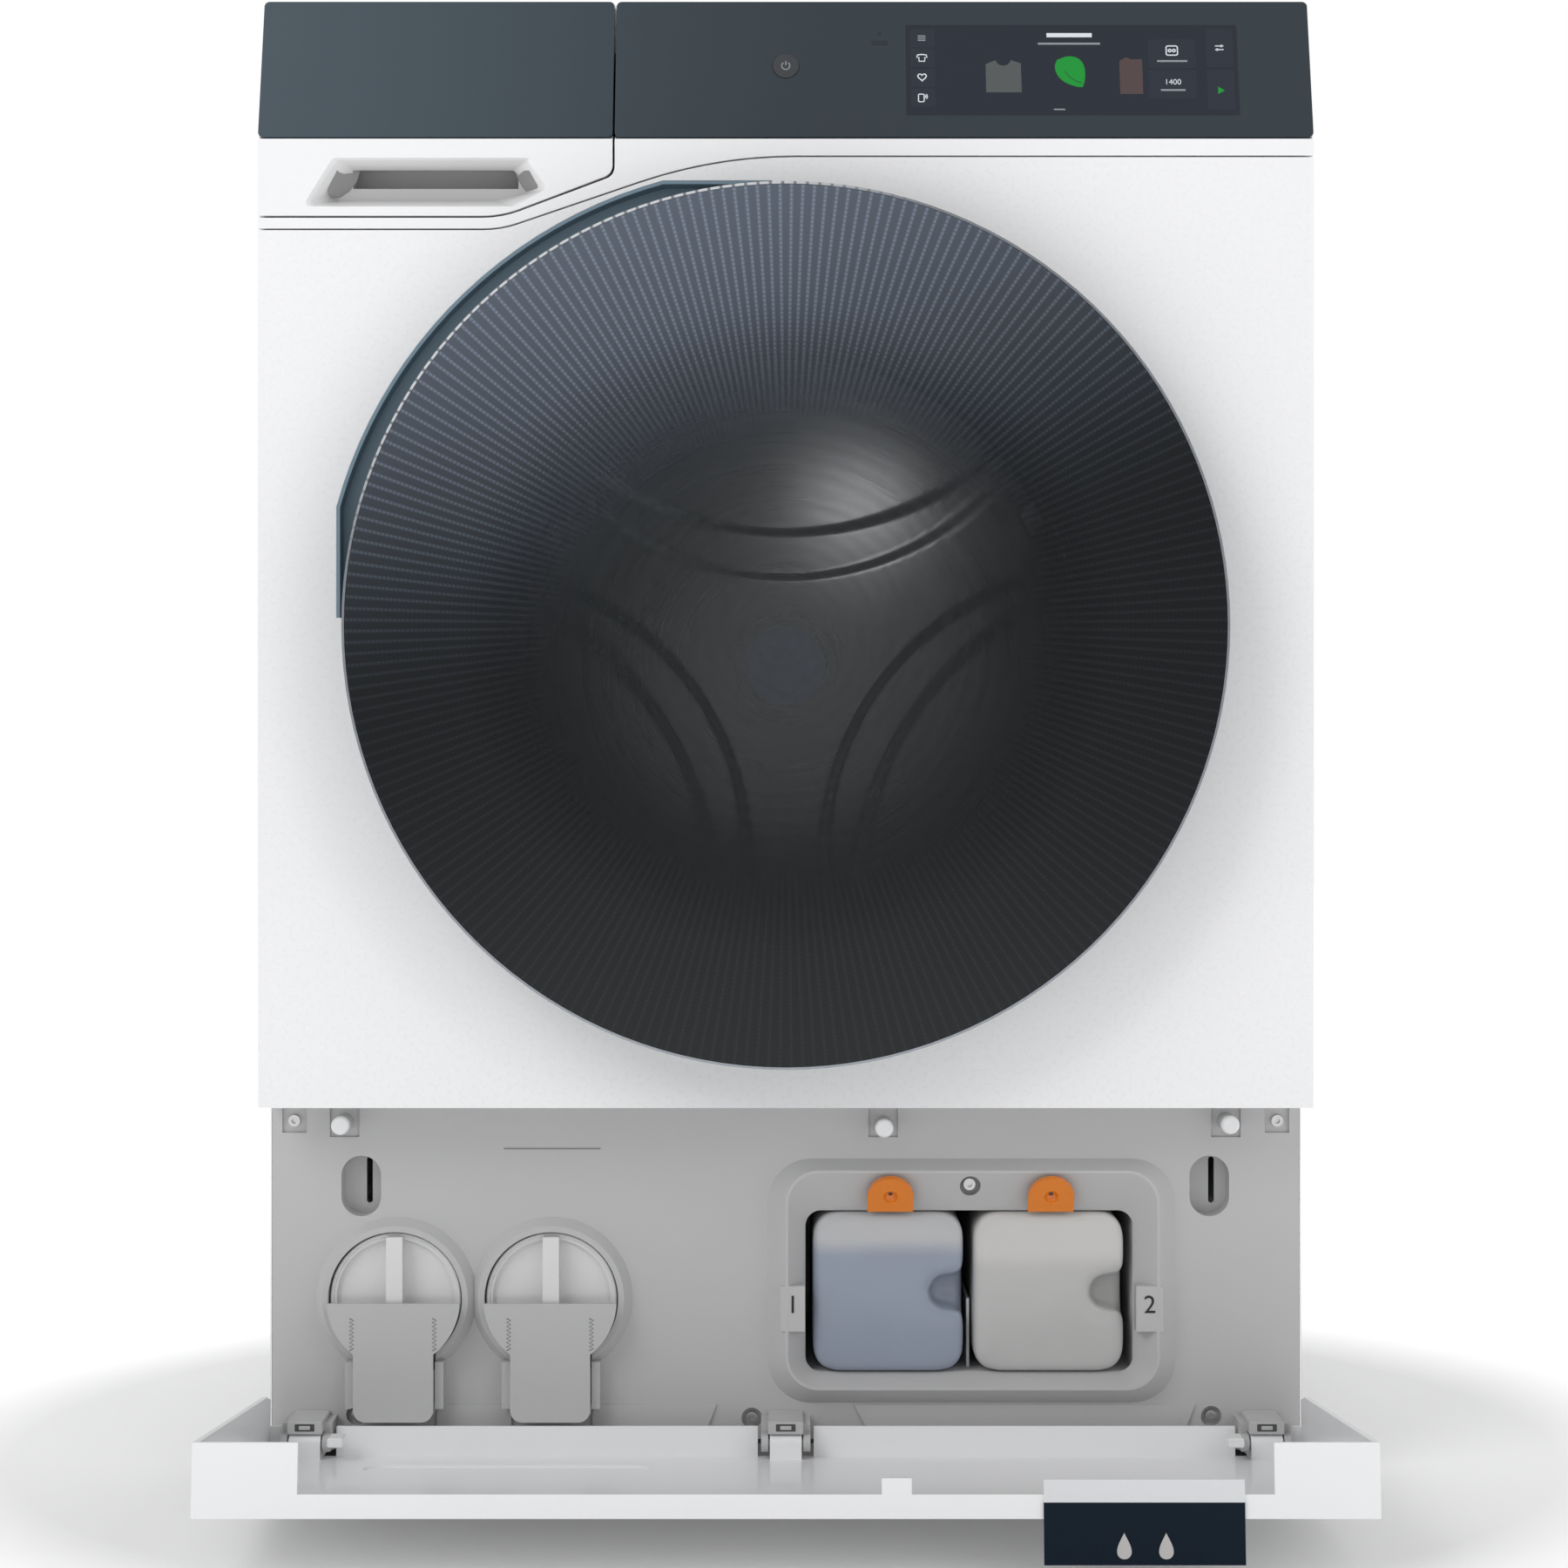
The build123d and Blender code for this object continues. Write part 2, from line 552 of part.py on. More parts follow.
def heater():
    """Looped heating rod in the sump, with its flange and two terminals."""
    level, rod_r, reach = 219.0, 3.5, 18.0
    path = FilletPolyline(
        (-reach, 150, level), (-reach, -30, level), (reach, -30, level), (reach, 150, level),
        radius=reach - 2)
    loop = sweep(Plane(origin=path @ 0, z_dir=path % 0) * Circle(rod_r), path=path)
    flange = slab(Pos(0, level) * SlotOverall(62, 18), 150, 154)
    pins = block(-reach - 3, -reach + 3, 154, 168, level - 1, level + 1)
    pins += block(reach - 3, reach + 3, 154, 168, level - 1, level + 1)
    return loop + flange + pins


def damper_cylinders():
    """Lower halves of the two friction dampers, standing on the base pan."""
    halves = []
    for x in (-DAMPER_X, DAMPER_X):
        body = post(x, 0, 14, 40, 210) + block(x - 14, x + 14, -9, 9, PAN_Z + WALL, 45)
        halves.append(body - post(x, 0, 6 + FREE, 60, 210))
    return Compound(halves)


def damper_rods():
    """Upper halves of the two friction dampers, hung from the tub."""
    return Compound([post(x, 0, 6, 100, 322) for x in (-DAMPER_X, DAMPER_X)])


def suspension_springs():
    """Two coil springs that the tub hangs on, with a seat at each end."""
    coils = []
    for x in (-SPRING_X, SPRING_X):
        wire = Helix(pitch=12, height=156, radius=11, center=(x, SPRING_Y, 618))
        coil = sweep(Plane(origin=wire @ 0, z_dir=wire % 0) * Circle(2.2), path=wire)
        ends = post(x, SPRING_Y, 13.2, 612.1, 617) + post(x, SPRING_Y, 13.2, 775, 780)
        coils.append(coil + ends)
    return Compound(coils)


# ---- drum -----------------------------------------------------------------------------------
def drum_shell():
    """Steel drum jacket with its front wall, open at the mouth."""
    inner = DRUM_R - DRUM_T
    return turned([
        (DRUM_R, DRUM_Y0 + 8), (DRUM_R, DRUM_Y1), (inner, DRUM_Y1), (inner, DRUM_Y0 + 9),
        (230, DRUM_Y0 + DRUM_T), (DRUM_MOUTH_R + 4, DRUM_Y0 + DRUM_T),
        (DRUM_MOUTH_R, DRUM_Y0 + 6), (DRUM_MOUTH_R, DRUM_Y0 + 3), (DRUM_MOUTH_R + 3, DRUM_Y0),
        (231, DRUM_Y0)], 0, AXIS_Z)


def drum_back():
    """Rear disc of the drum with a raised three-pointed star."""
    disc = rod(0, AXIS_Z, DRUM_R - DRUM_T, DRUM_Y1 - 2, DRUM_Y1)
    for point in range(3):
        arm = Rot(0, 0, 30 + 120 * point) * make_face(Polyline(
            (0, -46), (150, -26), (225, 0), (150, 26), (0, 46), close=True))
        disc += slab(Pos(0, AXIS_Z) * arm, DRUM_Y1 - 8, DRUM_Y1 - 2)
    return disc


def lifters():
    """Three ribs that lift the laundry, fixed inside the jacket."""
    ribs = []
    inner = DRUM_R - DRUM_T - 0.5
    for place in range(3):
        rib = make_face(Polyline((-30, -240), (-9, -198), (9, -198), (30, -240), close=True))
        rib = fillet(rib.vertices().group_by(Axis.Y)[-1], 6) & Circle(inner)
        ribs.append(Pos(0, 0, AXIS_Z) * Rot(0, -120 * place, 0) * slab(rib, -190, 110))
    return Compound(ribs)


def hub_cap():
    """Round cap over the shaft's end, with a hexagonal boss."""
    near = DRUM_Y1 - 8
    cap = rod(0, AXIS_Z, 28, near - 3, near)
    return cap + slab(Pos(0, AXIS_Z) * Rot(0, 0, 30) * RegularPolygon(20, 6), near - 8, near - 3)


def drum_shaft():
    """Shaft with the three-armed spider that carries the drum."""
    shaft = rod(0, AXIS_Z, SHAFT_R, 151, PULLEY_Y1 + 3)
    shaft += rod(0, AXIS_Z, 45, DRUM_Y1 + 0.1, 152)
    for arm in range(3):
        bar = Rot(0, 0, 90 + 120 * arm) * (Pos(115, 0) * Rectangle(230, 34))
        shaft += slab(Pos(0, AXIS_Z) * (bar & Circle(224)), DRUM_Y1 + 0.1, 142)
    return shaft


def drum_pulley():
    """Large belt pulley with six spokes."""
    wheel = tube(0, AXIS_Z, PULLEY_R, PULLEY_R - 8, PULLEY_Y0, PULLEY_Y1)
    wheel += rod(0, AXIS_Z, 26, PULLEY_Y0, PULLEY_Y1)
    for spoke in range(6):
        bar = Rot(0, 0, 60 * spoke) * (Pos(80, 0) * Rectangle(120, 16))
        wheel += slab(Pos(0, AXIS_Z) * bar, PULLEY_Y0 + 6, PULLEY_Y0 + 12)
    return wheel - rod(0, AXIS_Z, SHAFT_R, PULLEY_Y0, PULLEY_Y1)


def drive_belt():
    """Flat belt around both pulleys."""
    def loop(extra):
        return make_hull((Pos(0, AXIS_Z) * Circle(PULLEY_R + extra)).edges()
                         + (Pos(MOTOR_X, MOTOR_Z) * Circle(MOTOR_PULLEY_R + extra)).edges())
    return slab(loop(FREE + 3) - loop(FREE), PULLEY_Y0 + 2, PULLEY_Y1 - 2)


# ---- motor ------------------------------------------------------------------------------------
def motor_body():
    """Ribbed motor case with the stator inside."""
    case = rod(MOTOR_X, MOTOR_Z, MOTOR_R, 60, 235)
    case -= rod(MOTOR_X, MOTOR_Z, 38, 76, 220)
    case -= rod(MOTOR_X, MOTOR_Z, 8 + RUN, 66, 235)
    for near in (66.0, 110.0, 175.0, 222.0):
        case -= tube(MOTOR_X, MOTOR_Z, MOTOR_R, MOTOR_R - 3, near, near + 8)
    return case


def motor_rotor():
    """Rotor core, shaft and small belt pulley."""
    rotor = rod(MOTOR_X, MOTOR_Z, 37, 80, 216) + rod(MOTOR_X, MOTOR_Z, 8, 68, PULLEY_Y1)
    return rotor + rod(MOTOR_X, MOTOR_Z, MOTOR_PULLEY_R, 243, PULLEY_Y1 + 2)


# ---- service area behind the flap -----------------------------------------------------------------
def screw_places():
    """Middles of the screw cups in the service panel."""
    return [(-248, 38), (-19.6, 36), (246, 37), (106.3, 171)]


def filter_seats(panel):
    """Add the two filter bezels with the rails of their chutes, and cut the wells."""
    for x in FILTER_XS:
        rails = Pos(x, 57) * Rectangle(56.4, 27)
        seat = loft([upright(PLINTH_Y) * (Pos(x, FILTER_Z) * Circle(BEZEL_R + 1.5)),
                     upright(PLINTH_Y - 7) * (Pos(x, FILTER_Z) * Circle(BEZEL_R - 3))])
        panel += seat + slab(rails, PLINTH_Y - 10, PLINTH_Y)
    for x in FILTER_XS:
        panel -= rod(x, FILTER_Z, CAP_R + 1.2, PLINTH_Y - 7, PLINTH_Y + WALL)
        panel -= slab(Pos(x, 52) * Rectangle(46.8, 50), PLINTH_Y - 12, PLINTH_Y)
        panel -= Pos(x, CHUTE_PIVOT_Y, CHUTE_PIVOT_Z) * Rot(0, 90, 0) * Cylinder(2.0, 54)
    return panel


def oval_pockets(panel):
    """Two deep oval pockets with a narrow slot in their floors."""
    for x in (-245.4, 244.9):
        oval = Pos(x, 170.2) * Rot(0, 0, 90)
        panel += slab(oval * SlotOverall(39, 27), PLINTH_Y + WALL, PLINTH_Y + 16)
        panel -= slab(oval * SlotOverall(35, 23), PLINTH_Y, PLINTH_Y + 13)
        panel -= slab(Pos(x + 3, 172) * Rot(0, 0, 90) * SlotOverall(27, 3.5), PLINTH_Y + 13, PLINTH_Y + 16)
    return panel


def service_panel():
    """Grey cover behind the flap, with the filter seats and the dosing frame."""
    panel = slab(rounded(-PLINTH_X, PLINTH_X, PLINTH_Z0, PLINTH_Z1, 2), PLINTH_Y, PLINTH_Y + WALL)
    panel += loft([upright(PLINTH_Y) * rounded(-10.3, 225.2, 44.9, 186, 25),
                   upright(PLINTH_Y - 10) * rounded(-0.1, 215, 54.3, 180.5, 19)])
    panel -= loft([upright(PLINTH_Y - 10) * rounded(1.4, 213.5, 55.8, 179, 18),
                   upright(PLINTH_Y + WALL) * rounded(BAY_X0, BAY_X1, BAY_Z0, BAY_Z1, 9)])
    for x0, x1 in ((-3.0, BAY_X0 - 0.4), (BAY_X1 + 0.4, 217.0)):
        panel += block(x0, x1, PLINTH_Y - 9.9, PLINTH_Y, 88, 114)
    for x0, x1 in ((-237.0, -40.0), (39.5, 236.5)):
        wedge = Polyline((PLINTH_Y, 62), (PLINTH_Y - 2, PLINTH_Z0), (PLINTH_Y, PLINTH_Z0), close=True)
        side = Plane(origin=(x0, 0, 0), x_dir=(0, 1, 0), z_dir=(1, 0, 0))
        apron = extrude(side * make_face(wedge), amount=x1 - x0)
        cover = Polyline((x0, 44), (x1, 44), (x1 - 8, PLINTH_Z0), (x0 + 11, PLINTH_Z0), close=True)
        panel += apron & slab(make_face(cover), PLINTH_Y - 3, PLINTH_Y)
    for x0 in (-199.6, -85.7, 57.4, 171.4):
        panel += block(x0, x0 + 27.7, PLINTH_Y - 9, PLINTH_Y + WALL, 22.4, PLINTH_Z0 + 0.6)
    panel = oval_pockets(filter_seats(panel))
    for x, z in screw_places():
        panel += rod(x, z, 8, PLINTH_Y, PLINTH_Y + 6)
        panel -= rod(x, z, 6, PLINTH_Y - 12, PLINTH_Y + 4)
        panel -= rod(x, z, 2.2, PLINTH_Y, PLINTH_Y + 6)
    for x in (-255.0, 56.4, 254.5):
        panel -= block(x - 8.5, x + 8.5, PLINTH_Y, PLINTH_Y + 1.8, 198.5, PLINTH_Z1)
    for x in (-284.0, 284.0):
        panel -= block(x - 7, x + 7, PLINTH_Y, PLINTH_Y + 1.8, 201, PLINTH_Z1)
        panel -= rod(x, 208, 2.2, PLINTH_Y, PLINTH_Y + WALL)
    return panel


def hex_screw(x, z, near, length):
    """Panel screw with a socket head, along Y."""
    screw = rod(x, z, 3.4, near, near + 3) + rod(x, z, 1.9, near + 3, near + length)
    return screw - slab(Pos(x, z) * RegularPolygon(1.7, 6), near, near + 1.8)


def panel_screws():
    """Screws of the service panel, of its two upper corners and of the back panel."""
    screws = [hex_screw(x, z, PLINTH_Y + 1, 12) for x, z in screw_places()]
    screws += [hex_screw(x, 208, PLINTH_Y - 1.2, 12) for x in (-284, 284)]
    for x in (-285.0, 0.0, 285.0):
        for z in (76.0, 806.0):
            screws.append(block(x - 4, x + 4, BACK, BACK + 2.5, z - 4, z + 4) & rod(x, z, 4, BACK, BACK + 3))
    return Compound(screws)


def drain_filter(x):
    """Twist-out filter: rimmed cap, grip bar and slotted strainer barrel."""
    cap = rod(x, FILTER_Z, CAP_R, PLINTH_Y - 3, PLINTH_Y + 3)
    cap -= rod(x, FILTER_Z, CAP_R - 3.4, PLINTH_Y - 3, PLINTH_Y)
    bar = block(x - 4.65, x + 4.65, PLINTH_Y - 10, PLINTH_Y + 1, FILTER_Z - 36, FILTER_Z + 36)
    cap += bar & rod(x, FILTER_Z, CAP_R - 1, PLINTH_Y - 12, PLINTH_Y + 3)
    cap += tube(x, FILTER_Z, 34, 31, PLINTH_Y + 3, -185)
    for level in range(3):
        cap -= block(x - 40, x + 40, -245 + 18 * level, -237 + 18 * level, FILTER_Z - 12, FILTER_Z + 12)
    return cap


def filter_housing():
    """Twin sump housing that the two filters screw into."""
    near, far = PLINTH_Y + WALL + 0.2, -160.0
    housing = Part()
    for x in FILTER_XS:
        housing += rod(x, FILTER_Z, 39, near, far)
    housing += block(*FILTER_XS, near, far, FILTER_Z - 8, FILTER_Z + 8)
    housing += Pos(-90, -200, FILTER_Z) * Rot(0, 90, 0) * Cylinder(13, 24)
    for x in FILTER_XS:
        housing -= rod(x, FILTER_Z, 36, near, far - 3)
    return housing


def pumps():
    """Drain pump, circulation pump and the two dosing pumps."""
    group = []
    for x in FILTER_XS:
        pump = rod(x, FILTER_Z, 31, -159.9, -100) + rod(x, FILTER_Z, 22, -100, -60)
        group.append(pump + Pos(x, -125, FILTER_Z + 34) * Cylinder(9, 16))
    for x in BOTTLE_XS:
        group.append(rod(x, 112, 20, BAY_BACK + 0.1, -40) + rod(x, 112, 8, -40, -28))
    return Compound(group)


def chute_outline():
    """Outline of a drain chute: a cup that follows the cap, above a straight spout."""
    cup = Pos(0, FILTER_Z) * Circle(CAP_R + 0.6)
    cup = cup & (Pos(0, 84.85) * Rectangle(90, 39.7))
    spout = rounded(-22.9, 22.9, 36.8, 90, 7)
    return cup + spout


def chute(x):
    """Drain chute that folds forward about its lower end."""
    near = PLINTH_Y - 15
    plate = slab(Pos(x, 0) * chute_outline(), near, near + 2.5)
    for side in (-1, 1):
        edge = x + side * 21.7
        plate += block(edge - 1.2, edge + 1.2, near + 2.5, -265, 41, 66)
        pin_x = x + side * 24.6
        plate += Pos(pin_x, CHUTE_PIVOT_Y, CHUTE_PIVOT_Z) * Rot(0, 90, 0) * Cylinder(1.7, 4.6)
    return plate


def dosing_bay():
    """Open-fronted compartment for the two bottles."""
    near = PLINTH_Y + WALL
    bay = block(BAY_X0 - 2.5, BAY_X1 + 2.5, near, BAY_BACK, BAY_Z0 - 2.5, BAY_Z1 + 2.5)
    bay -= block(BAY_X0, BAY_X1, near, BAY_BACK - 2.5, BAY_Z0, BAY_Z1)
    middle = (BAY_X0 + BAY_X1) / 2
    return bay + block(middle - 0.8, middle + 0.8, near + 12, BAY_BACK - 2.5, BAY_Z0, BAY_Z0 + 40)


def bottle(x):
    """Detergent bottle, a rounded hollow box with a finger scoop at its right."""
    near = PLINTH_Y - 2
    grip = Pos(x + BOTTLE_W / 2 - 2, BOTTLE_Z - 2)
    body = slab(Pos(x, BOTTLE_Z) * RectangleRounded(BOTTLE_W, BOTTLE_H, 11), near, near + BOTTLE_D)
    body -= slab(grip * SlotOverall(38, 20), near, near + SCOOP_D)
    inner = Pos(x, BOTTLE_Z) * RectangleRounded(BOTTLE_W - 4, BOTTLE_H - 4, 9)
    hollow = slab(inner, near + 2, near + BOTTLE_D - 2)
    return body - (hollow - slab(grip * SlotOverall(42, 24), near, near + SCOOP_D + 2))


def lever(x):
    """Release lever over a bottle, lying on the sloping roof of the frame."""
    lean = degrees(atan2(13, 23.3))
    place = Pos(x, LEVER_Y, LEVER_Z) * Rot(90 + lean, 0, 0)
    outline = rounded(-13.2, 13.2, 0, 12, 1) + Pos(0, 9.5) * Circle(13.2)
    outline = outline & (Pos(0, 15) * Rectangle(30, 30))
    tab = place * extrude(outline, amount=LEVER_T)
    tab += place * Pos(0, 0, LEVER_T / 2) * Rot(0, 90, 0) * Cylinder(LEVER_T / 2, 26.4)
    return tab - place * Pos(0, 10, LEVER_T + 1) * Sphere(4.2)


def flap_fittings():
    """Three catch pins and three hinge blocks of the flap, on the service panel."""
    pieces = [rod(x, z, 5, PLINTH_Y - 16, PLINTH_Y + 1.8)
              for x, z in ((-255.0, 207.0), (56.4, 205.5), (254.5, 207.5))]
    for x in FLAP_HINGE_XS:
        for side in (-1, 1):
            ear_x = x + side * 12
            ear = block(ear_x - 2, ear_x + 2, -284, PLINTH_Y, 24, 38)
            ear += Pos(ear_x, FLAP_PIVOT_Y, FLAP_PIVOT_Z) * Rot(0, 90, 0) * Cylinder(5, 4)
            ear += block(ear_x - 2, ear_x + 2, FLAP_PIVOT_Y, -284, FLAP_PIVOT_Z - 4, FLAP_PIVOT_Z + 5)
            pieces.append(ear)
        pin = Pos(x, FLAP_PIVOT_Y, FLAP_PIVOT_Z) * Rot(0, 90, 0) * Cylinder(2.5, 20)
        pieces.append(pin)
    return Compound(pieces)


# ---- plinth flap -----------------------------------------------------------------------------------
def swing_open(shape):
    """Turn a piece drawn with the flap closed into the open pose."""
    axis = Axis((0, FLAP_PIVOT_Y, FLAP_PIVOT_Z), (1, 0, 0))
    return shape.rotate(axis, FLAP_OPEN)


def flap_panel():
    """Plinth flap: a shallow tray with deep sides, deep upper corners and hinge eyes."""
    rim_y = FRONT + 12
    flap = block(-HALF, HALF, FRONT, RETURN_Y, FLAP_Z0, FLAP_Z1)
    flap -= block(WALL - HALF, HALF - WALL, FRONT + WALL, RETURN_Y, FLAP_Z0 + WALL, FLAP_Z1 - WALL)
    flap -= block(-245, 245, rim_y, RETURN_Y, FLAP_Z1 - 20, FLAP_Z1)
    flap -= block(-HALF, HALF, rim_y + 8, RETURN_Y, FLAP_Z0, FLAP_Z0 + WALL)
    flap += block(48, 63, rim_y, rim_y + 8, FLAP_Z1 - WALL, FLAP_Z1)
    corner = block(-HALF, HALF, FLAP_PIVOT_Y, RETURN_Y, FLAP_Z0, FLAP_PIVOT_Z)
    keep = Pos(0, FLAP_PIVOT_Y, FLAP_PIVOT_Z) * Rot(0, 90, 0) * Cylinder(24.5, WIDTH)
    flap -= corner - keep
    for x in FLAP_HINGE_XS:
        flap -= block(x - 16, x + 16, FRONT + WALL, RETURN_Y, FLAP_Z0, FLAP_Z0 + WALL)
        flap += block(x - 9, x + 9, FRONT + WALL, FLAP_PIVOT_Y, FLAP_PIVOT_Z - 5, FLAP_PIVOT_Z + 5)
        flap += Pos(x, FLAP_PIVOT_Y, FLAP_PIVOT_Z) * Rot(0, 90, 0) * Cylinder(5, 18)
        flap -= Pos(x, FLAP_PIVOT_Y, FLAP_PIVOT_Z) * Rot(0, 90, 0) * Cylinder(2.5 + RUN, 18)
    flap -= slab(Pos(-155, 65) * SlotOverall(160, 26), FRONT + WALL - 1.5, FRONT + WALL)
    return swing_open(flap)


def flap_tag():
    """Card clipped over the rim of the flap, hanging in front of it."""
    level = FLAP_Z1 + 0.05
    card = block(129, 229.7, -322.5, -280.5, level, level + 1.2)
    return swing_open(card)


# ---- rear connections and hoses -----------------------------------------------------------------------
def rear_connectors():
    """Water inlet valve, drain spigot and the gland of the mains lead."""
    inlet = rod(INLET_X, INLET_Z, INLET_R, BACK - 2, BACK + 12)
    inlet += block(INLET_X - 20, INLET_X + 20, BACK - 42, BACK - 2, INLET_Z - 20, INLET_Z + 20)
    inlet -= rod(INLET_X, INLET_Z, 9, BACK - 10, BACK + 12)
    drain = tube(DRAIN_X, DRAIN_Z, DRAIN_R, 7.5, BACK - 20, BACK + 12)
    gland = tube(MAINS_X, MAINS_Z, 9, MAINS_R, BACK - 17, BACK + 3)
    gland += tube(MAINS_X, MAINS_Z, 14, MAINS_R, BACK, BACK + 3)
    return Compound([inlet, drain, gland])


def hoses():
    """Drain, inlet, fill, sump and circulation hoses inside the casing."""
    back = BACK - 64
    drain = hose([(-225, -125, 150), (-225, -125, 200), (-268, -60, 200), (-268, 20, 170), (-268, 120, 160),
                  (-268, back - 60, 160), (-268, back, 215), (-268, back, 330)], 9, 2)
    riser = hose([(-268, back, 330.1), (-268, back, 640), (DRAIN_X, back, 700), (DRAIN_X, BACK - 20.1, 700)], 9, 2)
    inlet = hose([(INLET_X, BACK - 42.1, INLET_Z), (INLET_X, 150, INLET_Z), (-190, 60, 785),
                  (-190, -19.9, 785)], 8, 2)
    fill = post(-190, -90, 17, 640, 739.9) - post(-190, -90, 14, 640, 739.9)
    fill -= rod(0, AXIS_Z, TUB_R + 0.2, -120, TUB_SPLIT)
    outlet = hose([(-30, -10, 204.9), (-30, -10, 145), (-20, -90, FILTER_Z), (-20, -200, FILTER_Z),
                   (-77.8, -200, FILTER_Z)], 12, 2.5)
    spray = hose([(-135, -125, 148.2), (-135, -125, 200), (-150, -160, 240), (-215, -190, 300)], 9, 2)
    return Compound([drain, riser, inlet, fill, outlet, spray])


# ---- output ---------------------------------------------------------------------------------------------
def all_nodes():
    """Every node of the machine by name."""
    nodes = {
        "base_pan": base_pan(), "side_panels": side_panels(), "back_panel": back_panel(),
        "front_panel": front_panel(), "fascia": fascia(), "lid": lid(), "service_panel": service_panel(),
        "panel_screws": panel_screws(), "grip_recess": grip_recess(), "control_glass": control_glass(),
        "display_unit": display_unit(), "power_button": power_button(),
        "drawer_front": drawer_front(), "drawer_glass": drawer_glass(), "drawer_tray": drawer_tray(),
        "dispenser_housing": dispenser_housing(), "rear_connectors": rear_connectors(), "hoses": hoses(),
        "filter_housing": filter_housing(), "pumps": pumps(), "dosing_bay": dosing_bay(),
        "door_hinge_bracket": door_hinge_bracket(), "door_lock": door_lock(), "gasket": gasket(),
        "door_frame": door_frame(), "door_glass": door_glass(), "door_bowl": door_bowl(),
        "door_fittings": door_fittings(), "damper_cylinders": damper_cylinders(),
        "damper_rods": damper_rods(), "suspension_springs": suspension_springs(),
        "flap_fittings": flap_fittings(), "flap_panel": flap_panel(), "flap_tag": flap_tag(),
        "tub_rear": tub_rear(), "tub_front": tub_front(), "bearing_housing": bearing_housing(),
        "bearings": bearings(), "counterweights": counterweights(), "heater": heater(),
        "motor_body": motor_body(), "motor_rotor": motor_rotor(), "drive_belt": drive_belt(),
        "drum_shell": drum_shell(), "drum_back": drum_back(), "lifters": lifters(),
        "hub_cap": hub_cap(), "drum_shaft": drum_shaft(), "drum_pulley": drum_pulley(),
        "rear_feet": Compound([foot(-FOOT_X, FOOT_Y), foot(FOOT_X, FOOT_Y)]),
        "foot_front_left": foot(-FOOT_X, -FOOT_Y), "foot_front_right": foot(FOOT_X, -FOOT_Y)}
    for number, x in enumerate(FILTER_XS, 1):
        nodes[f"drain_filter_{number}"] = drain_filter(x)
        nodes[f"chute_{number}"] = chute(x)
    for number, (bottle_x, lever_x) in enumerate(zip(BOTTLE_XS, LEVER_XS), 1):
        nodes[f"bottle_{number}"] = bottle(bottle_x)
        nodes[f"lever_{number}"] = lever(lever_x)
    return nodes


os.makedirs("parts", exist_ok=True)
for name, shape in all_nodes().items():
    shape.label = name
    export_step(shape, f"parts/{name}.step")
    print(name, len(shape.solids()), round(shape.volume / 1000, 1), "cm3")
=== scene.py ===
"""Front loading washing machine: finishes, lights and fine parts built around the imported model."""
from __future__ import annotations

import json
import logging
import math
from collections.abc import Callable, Iterable, Sequence
from dataclasses import dataclass
from enum import Enum

import bmesh
import bpy
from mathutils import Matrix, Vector

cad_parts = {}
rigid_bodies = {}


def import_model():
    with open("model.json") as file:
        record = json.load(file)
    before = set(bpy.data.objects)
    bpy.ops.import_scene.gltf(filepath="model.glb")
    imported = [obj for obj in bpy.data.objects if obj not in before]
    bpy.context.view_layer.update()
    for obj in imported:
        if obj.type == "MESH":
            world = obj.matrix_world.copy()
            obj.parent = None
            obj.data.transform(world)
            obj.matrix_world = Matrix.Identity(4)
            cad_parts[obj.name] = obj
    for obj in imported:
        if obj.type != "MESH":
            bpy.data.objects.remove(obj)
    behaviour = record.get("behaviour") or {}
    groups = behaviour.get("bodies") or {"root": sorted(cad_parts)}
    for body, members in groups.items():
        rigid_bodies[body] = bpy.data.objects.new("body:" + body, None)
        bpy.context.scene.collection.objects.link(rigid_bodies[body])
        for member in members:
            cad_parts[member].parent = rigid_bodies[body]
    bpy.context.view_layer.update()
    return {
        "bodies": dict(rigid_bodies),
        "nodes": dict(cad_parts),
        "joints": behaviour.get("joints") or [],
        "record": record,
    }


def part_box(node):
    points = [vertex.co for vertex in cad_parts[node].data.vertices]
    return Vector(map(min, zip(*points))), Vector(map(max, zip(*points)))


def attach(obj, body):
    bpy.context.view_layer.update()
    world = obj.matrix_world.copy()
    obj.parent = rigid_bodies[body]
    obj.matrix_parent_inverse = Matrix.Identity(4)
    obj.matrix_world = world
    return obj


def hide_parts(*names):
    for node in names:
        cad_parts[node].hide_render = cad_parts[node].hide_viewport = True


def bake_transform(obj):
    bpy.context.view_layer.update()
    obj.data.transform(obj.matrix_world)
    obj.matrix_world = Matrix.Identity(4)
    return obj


LOG = logging.getLogger("washing_machine")
MM = 0.001

Point2 = tuple[float, float]
Point3 = tuple[float, float, float]
Colour = tuple[float, float, float]
Placer = Callable[[float, float, float], Point3]


class Side(Enum):
    """Left or right half of a mirrored pair."""

    LEFT = -1
    RIGHT = 1


class Grain(Enum):
    """Direction in which a metal is brushed."""

    ALONG_X = (2.0, 90.0, 90.0)
    TURNED = (0.0, 0.0, 0.0)


# ---- places shared by several sub-assemblies, in millimetres ----------------------------------

FRONT = -300.0
AXIS_Z = 487.0
DOOR_Z = 489.6
BAND_Z = 767.9
BAND_RISE = 82.1
BAND_SET = 21.0
TILT = math.atan2(BAND_SET, BAND_RISE)


def upright(u: float, v: float, depth: float) -> Point3:
    """Places a point of an upright outline: u along X, v along Z, depth along Y."""
    return (u, depth, v)


